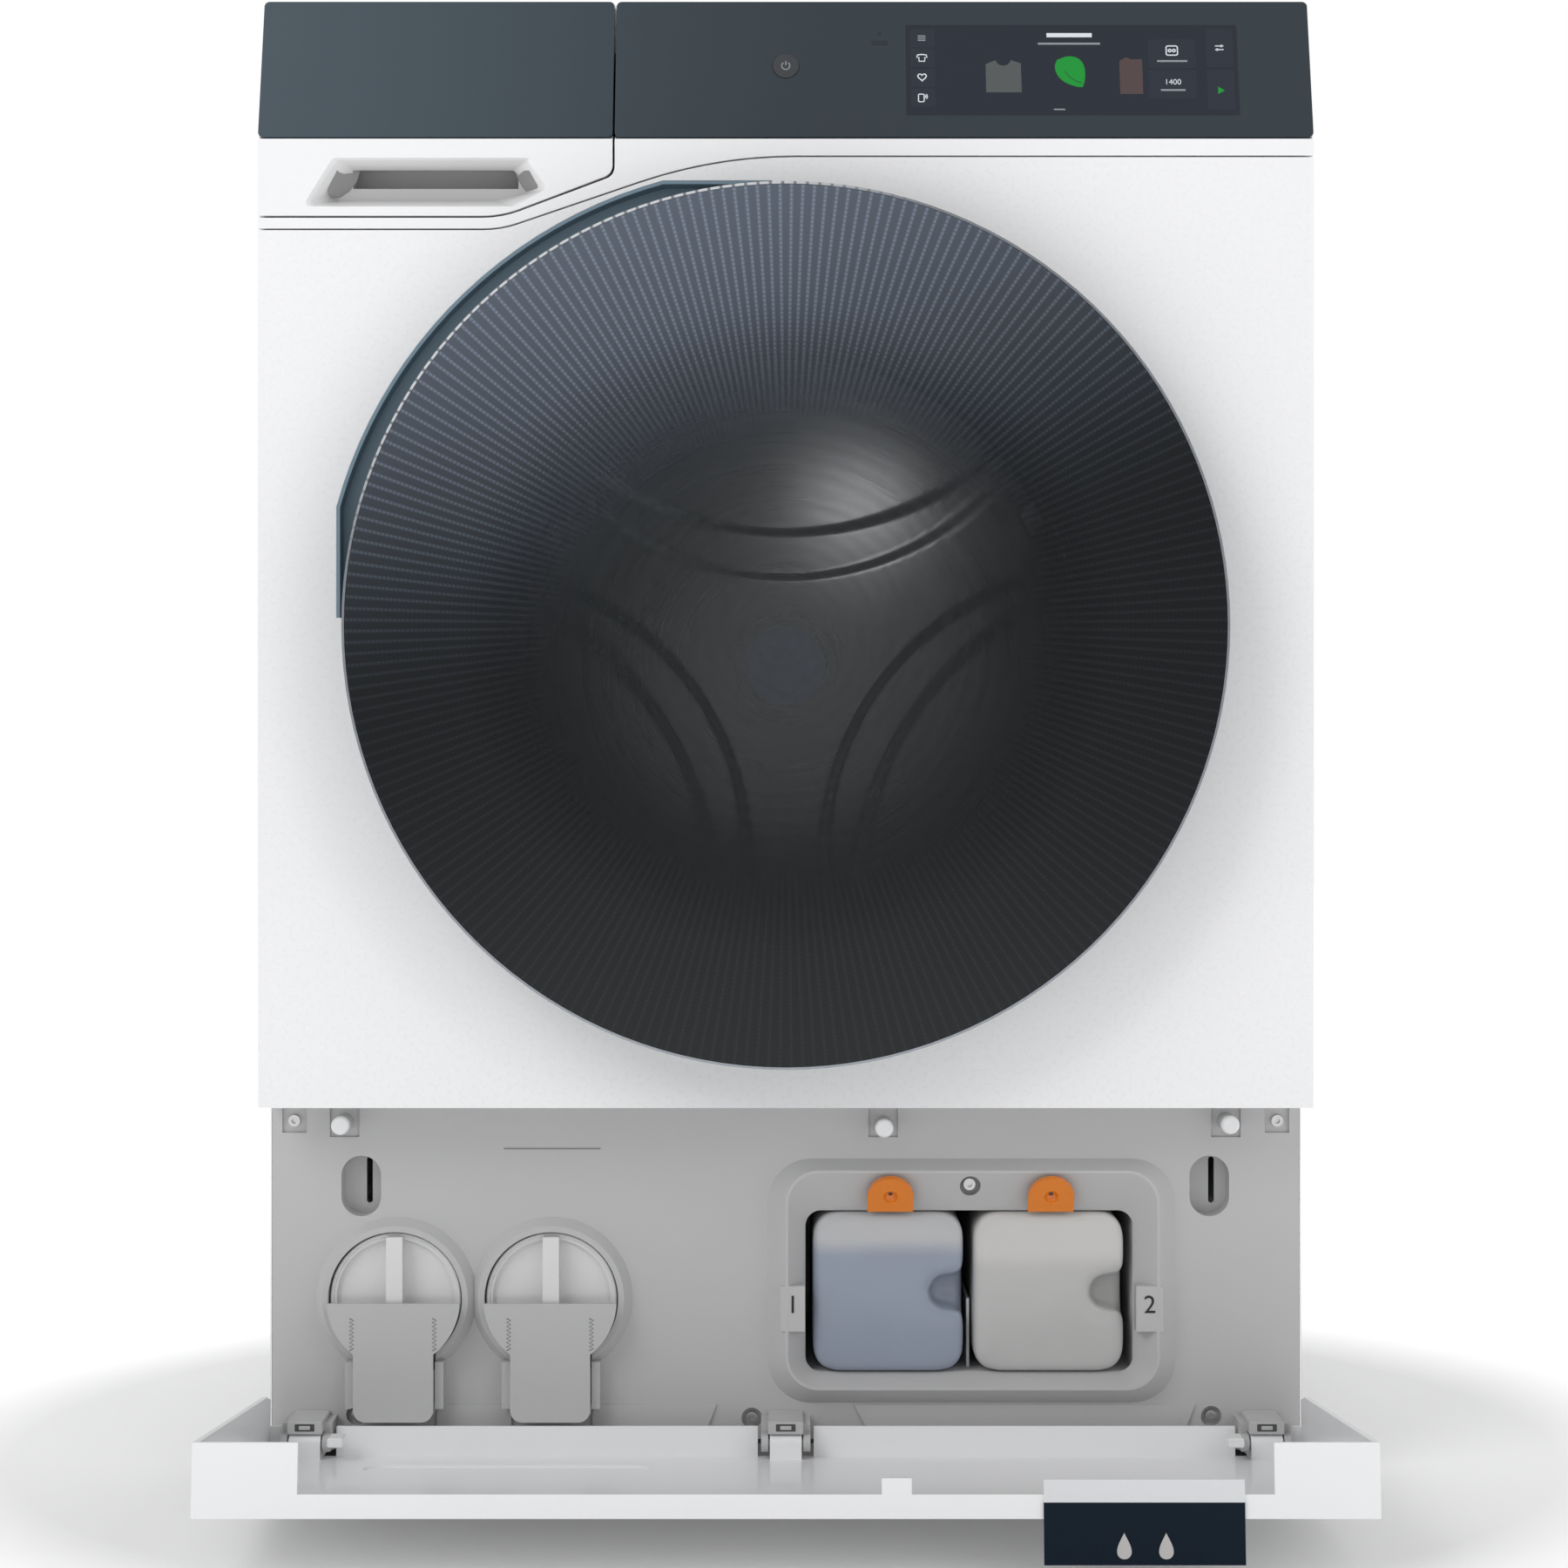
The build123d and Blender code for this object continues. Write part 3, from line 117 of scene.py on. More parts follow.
def on_band(u: float, climb: float, depth: float) -> Point3:
    """Places a point of the tilted control band.

    Args:
        u: Distance along X.
        climb: Distance up the slope from the band's lower edge.
        depth: Distance behind the band's face.

    Returns:
        The point in the row frame, in millimetres.
    """
    return (
        u,
        FRONT + climb * math.sin(TILT) + depth * math.cos(TILT),
        BAND_Z + climb * math.cos(TILT) - depth * math.sin(TILT),
    )


def climb_of(z: float) -> float:
    """Slope length on the control band at the height z."""
    return (z - BAND_Z) / math.cos(TILT)


# ---- shader building ---------------------------------------------------------------------------


class Signal:
    """A number that varies over a surface; arithmetic on it adds Math nodes."""

    def __init__(self, net: Net, socket: bpy.types.NodeSocket) -> None:
        """Keeps the output socket and the net it belongs to."""
        self.net = net
        self.socket = socket

    def math(self, operation: str, *others: Signal | float) -> Signal:
        """Runs one Math node on this signal and the others.

        Args:
            operation: Name of the Math node's operation.
            *others: Further operands.

        Returns:
            The result as a new signal.
        """
        inputs: dict[int, object] = {0: self}
        inputs.update({i + 1: other for i, other in enumerate(others)})
        node = self.net.node("ShaderNodeMath", {"operation": operation}, inputs)
        return Signal(self.net, node.outputs[0])

    def __add__(self, other: Signal | float) -> Signal:
        """Sum."""
        return self.math("ADD", other)

    __radd__ = __add__

    def __sub__(self, other: Signal | float) -> Signal:
        """Difference."""
        return self.math("SUBTRACT", other)

    def __rsub__(self, other: float) -> Signal:
        """Difference with a number in front."""
        return self.math("MULTIPLY", -1.0).math("ADD", other)

    def __mul__(self, other: Signal | float) -> Signal:
        """Product."""
        return self.math("MULTIPLY", other)

    __rmul__ = __mul__

    def __truediv__(self, other: Signal | float) -> Signal:
        """Quotient."""
        return self.math("DIVIDE", other)

    def __pow__(self, other: float) -> Signal:
        """Power."""
        return self.math("POWER", other)

    def over(self, low: float, high: float) -> Signal:
        """Smooth step from 0 below low to 1 above high; with low above high it falls instead.

        Args:
            low: Value that maps to 0.
            high: Value that maps to 1.

        Returns:
            The eased signal.
        """
        falls = low > high
        first, last = (high, low) if falls else (low, high)
        settings = {"interpolation_type": "SMOOTHSTEP"}
        inputs = {0: self, 1: first, 2: last, 3: 1.0 if falls else 0.0, 4: 0.0 if falls else 1.0}
        return Signal(self.net, self.net.node("ShaderNodeMapRange", settings, inputs).outputs[0])

    def cell(self, pitch: float) -> Signal:
        """Distance from the middle of the repeating cell of the given pitch."""
        return ((self / pitch).math("FRACT") - 0.5).math("ABSOLUTE") * pitch


class Net:
    """The node tree of one material."""

    def __init__(self, name: str) -> None:
        """Starts an empty material of that name."""
        self.material = bpy.data.materials.new(name)
        self.material.use_nodes = True
        self.tree = self.material.node_tree
        self.tree.nodes.clear()
        self.coordinates = self.node("ShaderNodeTexCoord").outputs["Object"]

    def node(
        self,
        kind: str,
        settings: dict[str, object] | None = None,
        inputs: dict[int | str, object] | None = None,
    ) -> bpy.types.Node:
        """Adds a node.

        Args:
            kind: Blender's type name of the node.
            settings: Properties that are set first; "stops" holds a ramp's positions and colours.
            inputs: Values or links of the input sockets, by index or name.

        Returns:
            The node.
        """
        node = self.tree.nodes.new(kind)
        for key, value in (settings or {}).items():
            if key == "stops":
                self._stops(node.color_ramp, value)
            else:
                setattr(node, key, value)
        for key, value in (inputs or {}).items():
            source = value.socket if isinstance(value, Signal) else value
            if isinstance(source, bpy.types.NodeSocket):
                self.tree.links.new(source, node.inputs[key])
            else:
                node.inputs[key].default_value = source
        return node

    @staticmethod
    def _stops(ramp: bpy.types.ColorRamp, stops: Sequence[tuple[float, Colour]]) -> None:
        """Lays a ramp's stops.

        Args:
            ramp: The ramp to fill.
            stops: Positions with their colours, from low to high.
        """
        while len(ramp.elements) < len(stops):
            ramp.elements.new(1.0)
        for element, (position, colour) in zip(ramp.elements, stops):
            element.position = position
            element.color = (*colour, 1.0)

    def axes(self) -> tuple[Signal, Signal, Signal]:
        """The place on the machine, as one signal for each axis, in millimetres."""
        parts = self.node("ShaderNodeSeparateXYZ", inputs={0: self.coordinates})
        x, y, z = (Signal(self, socket) * 1000.0 for socket in parts.outputs)
        return x, y, z

    def radius(self, height: float = DOOR_Z) -> Signal:
        """Distance in millimetres from a line along Y at that height."""
        x, _, z = self.axes()
        rise = z - height
        return (x * x + rise * rise) ** 0.5

    def turn(self) -> Signal:
        """Angle in degrees about the door's line."""
        x, _, z = self.axes()
        return (z - DOOR_Z).math("ARCTAN2", x) * (180.0 / math.pi)

    def stretched(self, factors: Point3) -> bpy.types.NodeSocket:
        """Coordinates multiplied by one factor for each axis."""
        settings = {"operation": "MULTIPLY"}
        return self.node("ShaderNodeVectorMath", settings, {0: self.coordinates, 1: factors}).outputs[0]

    def noise(
        self, scale: float, detail: float = 3.0, where: bpy.types.NodeSocket | None = None
    ) -> Signal:
        """Soft noise around 0.5.

        Args:
            scale: Features in a metre.
            detail: Number of finer layers.
            where: Coordinates, or None for the plain ones.

        Returns:
            The noise value.
        """
        inputs = {"Vector": where or self.coordinates, "Scale": scale, "Detail": detail}
        return Signal(self, self.node("ShaderNodeTexNoise", None, inputs).outputs["Fac"])

    def cells(self, scale: float, output: str = "Distance") -> Signal:
        """Cellular pattern with the given number of cells in a metre."""
        inputs = {"Vector": self.coordinates, "Scale": scale}
        return Signal(self, self.node("ShaderNodeTexVoronoi", None, inputs).outputs[output])

    def ramp(self, factor: Signal, stops: Sequence[tuple[float, Colour]]) -> bpy.types.NodeSocket:
        """Colour picked from a ramp.

        Args:
            factor: Position on the ramp.
            stops: Positions with their colours.

        Returns:
            The colour output.
        """
        return self.node("ShaderNodeValToRGB", {"stops": stops}, {0: factor}).outputs[0]

    def mix(self, factor: Signal, first: object, second: object) -> bpy.types.NodeSocket:
        """Mixes two colours.

        Args:
            factor: 0 for the first colour, 1 for the second.
            first: A colour or a colour output.
            second: A colour or a colour output.

        Returns:
            The mixed colour output.
        """
        pair = [(*c, 1.0) if isinstance(c, tuple) else c for c in (first, second)]
        inputs = {0: factor, 6: pair[0], 7: pair[1]}
        return self.node("ShaderNodeMix", {"data_type": "RGBA"}, inputs).outputs[2]

    def bump(self, height: Signal, distance: float, strength: float = 1.0) -> bpy.types.NodeSocket:
        """Normal of a height signal.

        Args:
            height: Relief, where 1 is one distance high.
            distance: Relief of a height of 1, in millimetres.
            strength: Share of the effect.

        Returns:
            The normal output.
        """
        inputs = {"Strength": strength, "Distance": distance * MM, "Height": height}
        return self.node("ShaderNodeBump", None, inputs).outputs[0]

    def surface(self, **inputs: object) -> None:
        """Closes the net with a Principled shader.

        Args:
            **inputs: Its sockets, with underscores for the spaces of their names.
        """
        named = {key.replace("_", " "): value for key, value in inputs.items()}
        shader = self.node("ShaderNodeBsdfPrincipled", None, named)
        self.node("ShaderNodeOutputMaterial", None, {0: shader.outputs[0]})


# ---- finishes -----------------------------------------------------------------------------------


@dataclass(frozen=True)
class Finish:
    """A surface finish; each kind lays its own nodes."""

    name: str

    def lay(self, net: Net) -> None:
        """Lays the nodes of the finish into an empty net."""
        raise NotImplementedError(self.name)

    def material(self) -> bpy.types.Material:
        """The material of this finish, made at its first use."""
        made = bpy.data.materials.get("finish_" + self.name)
        if made is None:
            net = Net("finish_" + self.name)
            self.lay(net)
            made = net.material
        return made


def shade(colour: Colour, factor: float) -> Colour:
    """A colour made darker or lighter by a factor, kept within 1."""
    return tuple(min(1.0, channel * factor) for channel in colour)


@dataclass(frozen=True)
class Moulded(Finish):
    """Plastic or rubber with a fine mould grain and faint unevenness of tone."""

    colour: Colour = (0.5, 0.5, 0.5)
    roughness: float = 0.45
    grain: float = 1400.0
    relief: float = 0.02
    mottle: float = 0.04
    coat: float = 0.0

    def lay(self, net: Net) -> None:
        """Lays a grained dielectric."""
        broad = net.noise(9.0, 2.0)
        fine = net.noise(self.grain, 2.0)
        dull, bright = shade(self.colour, 1 - self.mottle), shade(self.colour, 1 + self.mottle)
        tone = net.mix(broad * 0.7 + fine * 0.3, dull, bright)
        net.surface(
            Base_Color=tone,
            Roughness=self.roughness - 0.04 + broad * 0.04 + fine * 0.04,
            Coat_Weight=self.coat,
            Coat_Roughness=0.08,
            Normal=net.bump(fine, self.relief),
        )


@dataclass(frozen=True)
class Enamel(Finish):
    """White baked paint with a faint orange peel."""

    colour: Colour = (0.86, 0.865, 0.875)
    peel_scale: float = 260.0

    def lay(self, net: Net) -> None:
        """Lays the paint."""
        peel = net.noise(self.peel_scale, 1.0)
        broad = net.noise(4.0, 2.0)
        net.surface(
            Base_Color=net.mix(broad, shade(self.colour, 0.985), shade(self.colour, 1.01)),
            Roughness=0.24 + peel * 0.08,
            Coat_Weight=0.4,
            Coat_Roughness=0.06,
            Normal=net.bump(peel, 0.006),
        )


@dataclass(frozen=True)
class DishedEnamel(Enamel):
    """White paint on the front panel, whose sheet sinks softly towards the door."""

    dish_start: float = 246.0
    dish_end: float = 300.0
    dish_depth: float = 3.4

    def lay(self, net: Net) -> None:
        """Lays the paint with the dish as relief."""
        radius = net.radius()
        dish = radius.over(self.dish_start, self.dish_end)
        peel = net.noise(self.peel_scale, 1.0)
        broad = net.noise(4.0, 2.0)
        net.surface(
            Base_Color=net.mix(broad, shade(self.colour, 0.985), shade(self.colour, 1.01)),
            Roughness=0.24 + peel * 0.08,
            Coat_Weight=0.4,
            Coat_Roughness=0.06,
            Normal=net.bump(dish + peel * 0.002, self.dish_depth),
        )


@dataclass(frozen=True)
class ShadedHollow(Enamel):
    """White drawer front whose handle hollow is painted grey as shade."""

    edge: float = FRONT + 1.0
    depth: float = 13.0
    ceiling: float = 757.5
    # Painted shade: these greys stand for the shade inside the white hollow, darkest at its back.
    grey: Colour = (0.74, 0.74, 0.745)
    deep: Colour = (0.42, 0.42, 0.425)

    def lay(self, net: Net) -> None:
        """Lays white at the face and painted shade greys that darken towards the hollow's back."""
        _, y, z = net.axes()
        peel = net.noise(self.peel_scale, 1.0)
        # Painted shade inside the hollow, deepening towards its back.
        inside = y.over(self.edge, self.edge + 2.0) * z.over(self.ceiling, self.ceiling - 0.7)
        recess_shade = y.over(self.edge + 2.0, self.edge + self.depth)
        tone = net.mix(peel, shade(self.colour, 0.985), self.colour)
        net.surface(
            Base_Color=net.mix(inside, tone, net.mix(recess_shade, self.grey, self.deep)),
            Roughness=0.24 + peel * 0.03,
            Normal=net.bump(peel, 0.006),
        )


@dataclass(frozen=True)
class Brushed(Finish):
    """Bare metal with brush lines."""

    colour: Colour = (0.6, 0.61, 0.62)
    roughness: float = 0.3
    grain: Grain = Grain.ALONG_X
    lines: float = 12.0

    def lay(self, net: Net) -> None:
        """Lays the metal; turned parts get lines around the drum's axis."""
        if self.grain is Grain.TURNED:
            _, y, _ = net.axes()
            radius = net.radius(AXIS_Z)
            joined = net.node("ShaderNodeCombineXYZ", None, {0: radius * 0.06, 1: y * 0.06, 2: 0.0})
            where = joined.outputs[0]
        else:
            where = net.stretched(self.grain.value)
        lines = net.noise(self.lines, 4.0, where)
        smudge = net.noise(14.0, 3.0)
        net.surface(
            Base_Color=net.mix(smudge * 0.5 + lines * 0.5, shade(self.colour, 0.86), shade(self.colour, 1.1)),
            Metallic=1.0,
            Roughness=self.roughness - 0.07 + lines * 0.1 + smudge * 0.06,
            Normal=net.bump(lines, 0.015),
        )


@dataclass(frozen=True)
class Spangled(Finish):
    """Zinc-plated sheet with faint crystal flakes."""

    colour: Colour = (0.62, 0.64, 0.66)

    def lay(self, net: Net) -> None:
        """Lays the plated sheet."""
        flakes = net.cells(120.0, "Color")
        wear = net.noise(7.0, 4.0)
        net.surface(
            Base_Color=net.mix(flakes, shade(self.colour, 0.88), shade(self.colour, 1.08)),
            Metallic=0.85,
            Roughness=0.34 + flakes * 0.1 + wear * 0.08,
            Normal=net.bump(flakes + wear, 0.01),
        )


@dataclass(frozen=True)
class Cast(Finish):
    """Rough casting: iron, aluminium or concrete."""

    colour: Colour = (0.4, 0.4, 0.4)
    roughness: float = 0.6
    metallic: float = 1.0
    pores: float = 500.0
    relief: float = 0.15

    def lay(self, net: Net) -> None:
        """Lays the pitted surface."""
        pits = net.cells(self.pores).over(0.05, 0.35)
        tone = net.noise(22.0, 5.0)
        net.surface(
            Base_Color=net.mix(tone * 0.6 + pits * 0.4, shade(self.colour, 0.7), shade(self.colour, 1.15)),
            Metallic=self.metallic,
            Roughness=self.roughness + tone * 0.12,
            Normal=net.bump(pits + tone, self.relief),
        )


@dataclass(frozen=True)
class BandGlass(Finish):
    """Dark glass printed on its back, with a fine printed screen of dots."""

    colour: Colour = (0.026, 0.037, 0.046)

    def lay(self, net: Net) -> None:
        """Lays the glass; it is a little lighter towards its left end."""
        x, _, z = net.axes()
        near_left = x.over(40.0, -297.0)
        dots = (x.cell(1.1) ** 2.0 + z.cell(1.1) ** 2.0).over(0.16, 0.05)
        ground = net.mix(near_left * 0.8 + dots * 0.12, self.colour, shade(self.colour, 2.3))
        net.surface(
            Base_Color=ground,
            Roughness=0.13 + net.noise(30.0) * 0.03,
            Normal=net.bump(net.noise(12.0, 1.0), 0.03),
        )


@dataclass(frozen=True)
class DoorPane(Finish):
    """Tinted door pane with radial rows of printed dots around a clearer window, and a painted sheen at its
    upper left.
    """

    window: float = 150.0
    rim: float = 186.0
    middle_alpha: float = 0.34
    row_pitch: float = 1.5
    dot_pitch: float = 2.4
    dark: Colour = (0.0035, 0.0048, 0.006)
    light: Colour = (0.21, 0.25, 0.32)

    def lay(self, net: Net) -> None:
        """Lays the tint, the dots, the painted sheen and the window's see-through part."""
        x, _, z = net.axes()
        rise = z - DOOR_Z
        radius, turn = net.radius(), net.turn()
        across = turn.cell(self.row_pitch) * radius * (math.pi / 180.0)
        along = radius.cell(self.dot_pitch)
        row = across.over(1.5, 0.3)
        dot = (across * across + along * along).over(1.1, 0.2)
        # Painted reflection: the tint lightens towards the light colour at the upper left, and the printed
        # dots show mostly there.
        sheen = (rise * 0.96 - x * 0.28).over(-10.0, 270.0) ** 1.4
        outside = radius.over(self.window - 50.0, self.rim)
        spread = radius.over(self.window - 85.0, self.rim)
        print_and_sheen = (row * 0.4 + dot * 0.6) * spread * (0.03 + sheen * 0.7)
        base = net.mix(sheen * (0.14 + spread * 0.3), self.dark, self.light)
        net.surface(
            Base_Color=net.mix(print_and_sheen, base, self.light),
            Roughness=0.16 + net.noise(20.0) * 0.03,
            Specular_IOR_Level=0.3,
            Alpha=self.middle_alpha + outside * (1.0 - self.middle_alpha),
            Normal=net.bump(net.noise(7.0, 1.0), 0.04),
        )


@dataclass(frozen=True)
class ClearGlass(Finish):
    """Pressed clear glass with faint waves."""

    tint: Colour = (0.5, 0.56, 0.6)
    alpha: float = 0.14

    def lay(self, net: Net) -> None:
        """Lays thin clear glass; its concentric press marks show as faint rings."""
        radius = net.radius()
        rings = radius.cell(9.0).over(0.0, 4.5)
        waves = net.noise(16.0, 2.0)
        net.surface(
            Base_Color=net.mix(waves, shade(self.tint, 0.8), self.tint),
            Roughness=0.04 + waves * 0.04,
            Alpha=self.alpha - 0.03 + rings * 0.05,
            Normal=net.bump(rings * 0.3 + waves, 0.35),
        )


@dataclass(frozen=True)
class Laminate(Finish):
    """White laminated board with a very fine pearl texture."""

    colour: Colour = (0.86, 0.865, 0.87)

    def lay(self, net: Net) -> None:
        """Lays the laminate."""
        pearl = net.cells(900.0)
        broad = net.noise(5.0, 3.0)
        net.surface(
            Base_Color=net.mix(pearl * 0.5 + broad * 0.5, shade(self.colour, 0.98), shade(self.colour, 1.01)),
            Roughness=0.36 + pearl * 0.1,
            Normal=net.bump(pearl, 0.02),
        )


@dataclass(frozen=True)
class Tank(Finish):
    """Milky bottle wall whose contents show through up to a level."""

    empty: Colour = (0.6, 0.6, 0.59)
    full: Colour = (0.45, 0.5, 0.58)
    level: float = 128.0

    def lay(self, net: Net) -> None:
        """Lays the bottle wall, darker and tinted below the level of its contents."""
        _, _, z = net.axes()
        wave = net.noise(25.0, 2.0)
        filled = (z + wave * 5.0).over(self.level + 8.0, self.level - 4.0)
        contents = net.mix(wave, shade(self.full, 0.92), shade(self.full, 1.06))
        net.surface(
            Base_Color=net.mix(filled, self.empty, contents),
            Roughness=0.3 + wave * 0.08,
            Coat_Weight=0.3,
            Coat_Roughness=0.1,
            Subsurface_Weight=0.15,
            Subsurface_Radius=(0.01, 0.01, 0.01),
            Normal=net.bump(wave, 0.12),
        )


@dataclass(frozen=True)
class Circuit(Finish):
    """Lacquered circuit board with copper tracks."""

    def lay(self, net: Net) -> None:
        """Lays green lacquer over a grid of tracks."""
        x, _, z = net.axes()
        lanes = (x + net.noise(40.0) * 6.0).cell(4.0).over(0.5, 0.3)
        tracks = lanes * (z + net.noise(30.0) * 9.0).cell(7.0).over(2.2, 1.8)
        net.surface(
            Base_Color=net.mix(tracks, (0.015, 0.12, 0.05), (0.08, 0.3, 0.12)),
            Roughness=0.3 + tracks * 0.1,
            Normal=net.bump(tracks, 0.05),
        )


@dataclass(frozen=True)
class RimmedRing(Finish):
    """Dark moulded ring whose outermost lip is bright metal, with painted glint dashes on the lip at its
    upper left.
    """

    colour: Colour = (0.022, 0.026, 0.03)
    lip_colour: Colour = (0.3, 0.32, 0.35)
    lip_radius: float = 242.4
    dash_turn: float = 1.6

    def lay(self, net: Net) -> None:
        """Lays the ring, its lip and the lip's painted glint."""
        x, _, z = net.axes()
        rise = z - DOOR_Z
        radius, turn = net.radius(), net.turn()
        lip = radius.over(self.lip_radius, self.lip_radius + 0.3)
        # Painted highlight: near-white dashes on the lip, only at its upper left where the key light falls.
        glint_dashes = turn.cell(self.dash_turn).over(0.1, 0.3)
        lit = (rise * 0.85 - x * 0.52).over(150.0, 225.0)
        bright = net.mix(glint_dashes * lit, self.lip_colour, (0.9, 0.92, 0.95))
        grain = net.noise(1400.0, 2.0)
        net.surface(
            Base_Color=net.mix(lip, net.mix(grain, self.colour, shade(self.colour, 1.3)), bright),
            Metallic=lip * 0.8,
            Roughness=0.34 - lip * 0.1 + grain * 0.05,
            Normal=net.bump(grain, 0.012),
        )


@dataclass(frozen=True)
class PrintedCard(Finish):
    """Coated card: navy with a light bar along its top."""

    navy: Colour = (0.0045, 0.011, 0.021)
    bar: Colour = (0.74, 0.75, 0.77)
    bar_foot: float = 43.0

    def lay(self, net: Net) -> None:
        """Lays the two printed fields."""
        _, _, z = net.axes()
        fibres = net.noise(650.0, 3.0)
        field = net.mix(fibres, shade(self.navy, 0.8), shade(self.navy, 1.3))
        light = net.mix(fibres, shade(self.bar, 0.97), self.bar)
        net.surface(
            Base_Color=net.mix(z.over(self.bar_foot, self.bar_foot + 0.3), field, light),
            Roughness=0.55 + fibres * 0.1,
            Specular_IOR_Level=0.12,
            Normal=net.bump(fibres, 0.02),
        )


@dataclass(frozen=True)
class Ink(Finish):
    """Printed or softly lit mark."""

    colour: Colour = (0.8, 0.8, 0.8)
    glow: float = 0.0

    def lay(self, net: Net) -> None:
        """Lays the ink with the slight unevenness of a screen print."""
        speck = net.noise(900.0, 2.0)
        tone = net.mix(speck, shade(self.colour, 0.94), self.colour)
        net.surface(
            Base_Color=tone, Roughness=0.34 + speck * 0.1, Emission_Color=tone, Emission_Strength=self.glow,
        )


ENAMEL = Enamel("white_enamel")
DISHED = DishedEnamel("dished_enamel")
HOLLOW = ShadedHollow("handle_hollow")
# Painted light: the hub cap glows faintly though it is no lamp, to lift it in the dark drum.
GLOWING_HUB = Ink("hub_plastic", (0.5, 0.56, 0.66), 0.11)
ZINC = Spangled("zinc_sheet")
WHITE = Moulded("white_plastic", (0.86, 0.865, 0.875), 0.3, 900.0, 0.006, 0.012, 0.25)
LAMINATE = Laminate("lid_laminate")
GREY = Moulded("grey_plastic", (0.5, 0.5, 0.502), 0.5, 1500.0, 0.03, 0.04)
BASE = Moulded("base_plastic", (0.09, 0.092, 0.095), 0.55, 1200.0, 0.03, 0.06)
PETROL = Moulded("petrol_plastic", (0.17, 0.25, 0.31), 0.42, 1500.0, 0.02, 0.05)
BAND = BandGlass("band_glass")
PANE = DoorPane("door_pane")
CLEAR = ClearGlass("clear_glass")
RING = RimmedRing("door_ring")
LIGHT = Moulded("light_plastic", (0.72, 0.72, 0.72), 0.42, 1300.0, 0.015, 0.03)
BUTTON = Moulded("button_plastic", (0.03, 0.034, 0.04), 0.18, 1800.0, 0.004, 0.05, 0.8)
BOARD = Circuit("circuit_board")
STAINLESS = Brushed("stainless", (0.55, 0.56, 0.575), 0.28, Grain.TURNED, 8.0)
STEEL = Brushed("bright_steel", (0.56, 0.56, 0.56), 0.3, Grain.ALONG_X)
ALUMINIUM = Cast("cast_aluminium", (0.6, 0.6, 0.61), 0.42, 1.0, 700.0, 0.05)
TUB = Moulded("tub_plastic", (0.4, 0.41, 0.42), 0.5, 700.0, 0.05, 0.07)
IRON = Cast("housing_iron", (0.1, 0.1, 0.105), 0.6, 0.8, 600.0, 0.12)
CONCRETE = Cast("concrete", (0.4, 0.39, 0.37), 0.85, 0.0, 320.0, 0.4)
MOTOR = Moulded("motor_paint", (0.07, 0.075, 0.08), 0.35, 800.0, 0.02, 0.06)
SEAL = Moulded("seal_rubber", (0.16, 0.165, 0.17), 0.55, 1100.0, 0.03, 0.08)
RUBBER = Moulded("black_rubber", (0.02, 0.02, 0.021), 0.6, 900.0, 0.04, 0.12)
BLACK = Moulded("connector_plastic", (0.035, 0.035, 0.037), 0.45, 1300.0, 0.02, 0.08)
FOOT = Moulded("foot_plastic", (0.03, 0.03, 0.032), 0.5, 1000.0, 0.03, 0.1)
LEVER = Moulded("lever_plastic", (0.78, 0.21, 0.006), 0.28, 1500.0, 0.006, 0.05, 0.4)
BLUE_TANK = Tank("bottle_blue", (0.5, 0.505, 0.52), (0.29, 0.33, 0.41), 136.0)
MILKY_TANK = Tank("bottle_milky", (0.6, 0.59, 0.575), (0.51, 0.505, 0.5), 128.0)
CARD = PrintedCard("navy_card")
SCREEN = Ink("display_screen", (0.008, 0.013, 0.025))
TILE = Ink("display_tile", (0.013, 0.019, 0.033))
MARK = Ink("display_mark", (0.62, 0.65, 0.7), 0.15)
DIM_MARK = Ink("display_dim_mark", (0.26, 0.28, 0.31), 0.05)
GREEN = Ink("leaf_green", (0.0, 0.22, 0.02), 0.3)
DEEP_GREEN = Ink("leaf_vein", (0.004, 0.09, 0.03), 0.1)
SHIRT = Ink("shirt_grey", (0.075, 0.083, 0.083), 0.1)
ROSY = Ink("shirt_rose", (0.07, 0.045, 0.045), 0.1)
# Painted shade grey: darker colour standing for shade on the handle hollow's ends and along the panel rib.
PAINTED_SHADE_GREY = Moulded("cheek_grey", (0.24, 0.24, 0.245), 0.5, 1400.0, 0.02, 0.05)
# Painted shadow: dark strokes and plates that stand for the shade in grip cuts and clip slots.
SHADOW_MARK = Ink("groove_shadow", (0.07, 0.07, 0.072))
DROP = Ink("drop_grey", (0.52, 0.51, 0.5))
NUMERAL = Ink("numeral_black", (0.012, 0.012, 0.012))

DRESS: dict[str, Finish] = {
    "white_enamel": ENAMEL, "zinc_sheet": ZINC, "white_plastic": WHITE, "lid_board": LAMINATE,
    "grey_plastic": GREY, "base_plastic": BASE, "petrol_plastic": PETROL, "band_glass": BAND,
    "door_pane": PANE, "clear_glass": CLEAR, "door_ring": RING, "light_plastic": LIGHT,
    "button_plastic": BUTTON, "board": BOARD, "stainless": STAINLESS, "steel_parts": STEEL,
    "cast_aluminium": ALUMINIUM, "tub_plastic": TUB, "housing_iron": IRON, "concrete": CONCRETE,
    "motor_steel": MOTOR, "seal_rubber": SEAL, "black_rubber": RUBBER, "connector_plastic": BLACK,
    "foot_plastic": FOOT, "lever_plastic": LEVER, "bottle_blue": BLUE_TANK,
    "bottle_milky": MILKY_TANK, "tag_card": CARD,
}
NODE_DRESS: dict[str, Finish] = {
    "front_panel": DISHED, "drawer_front": HOLLOW, "hub_cap": GLOWING_HUB, "dosing_bay": LIGHT,
}


# ---- mesh building ---------------------------------------------------------------------------


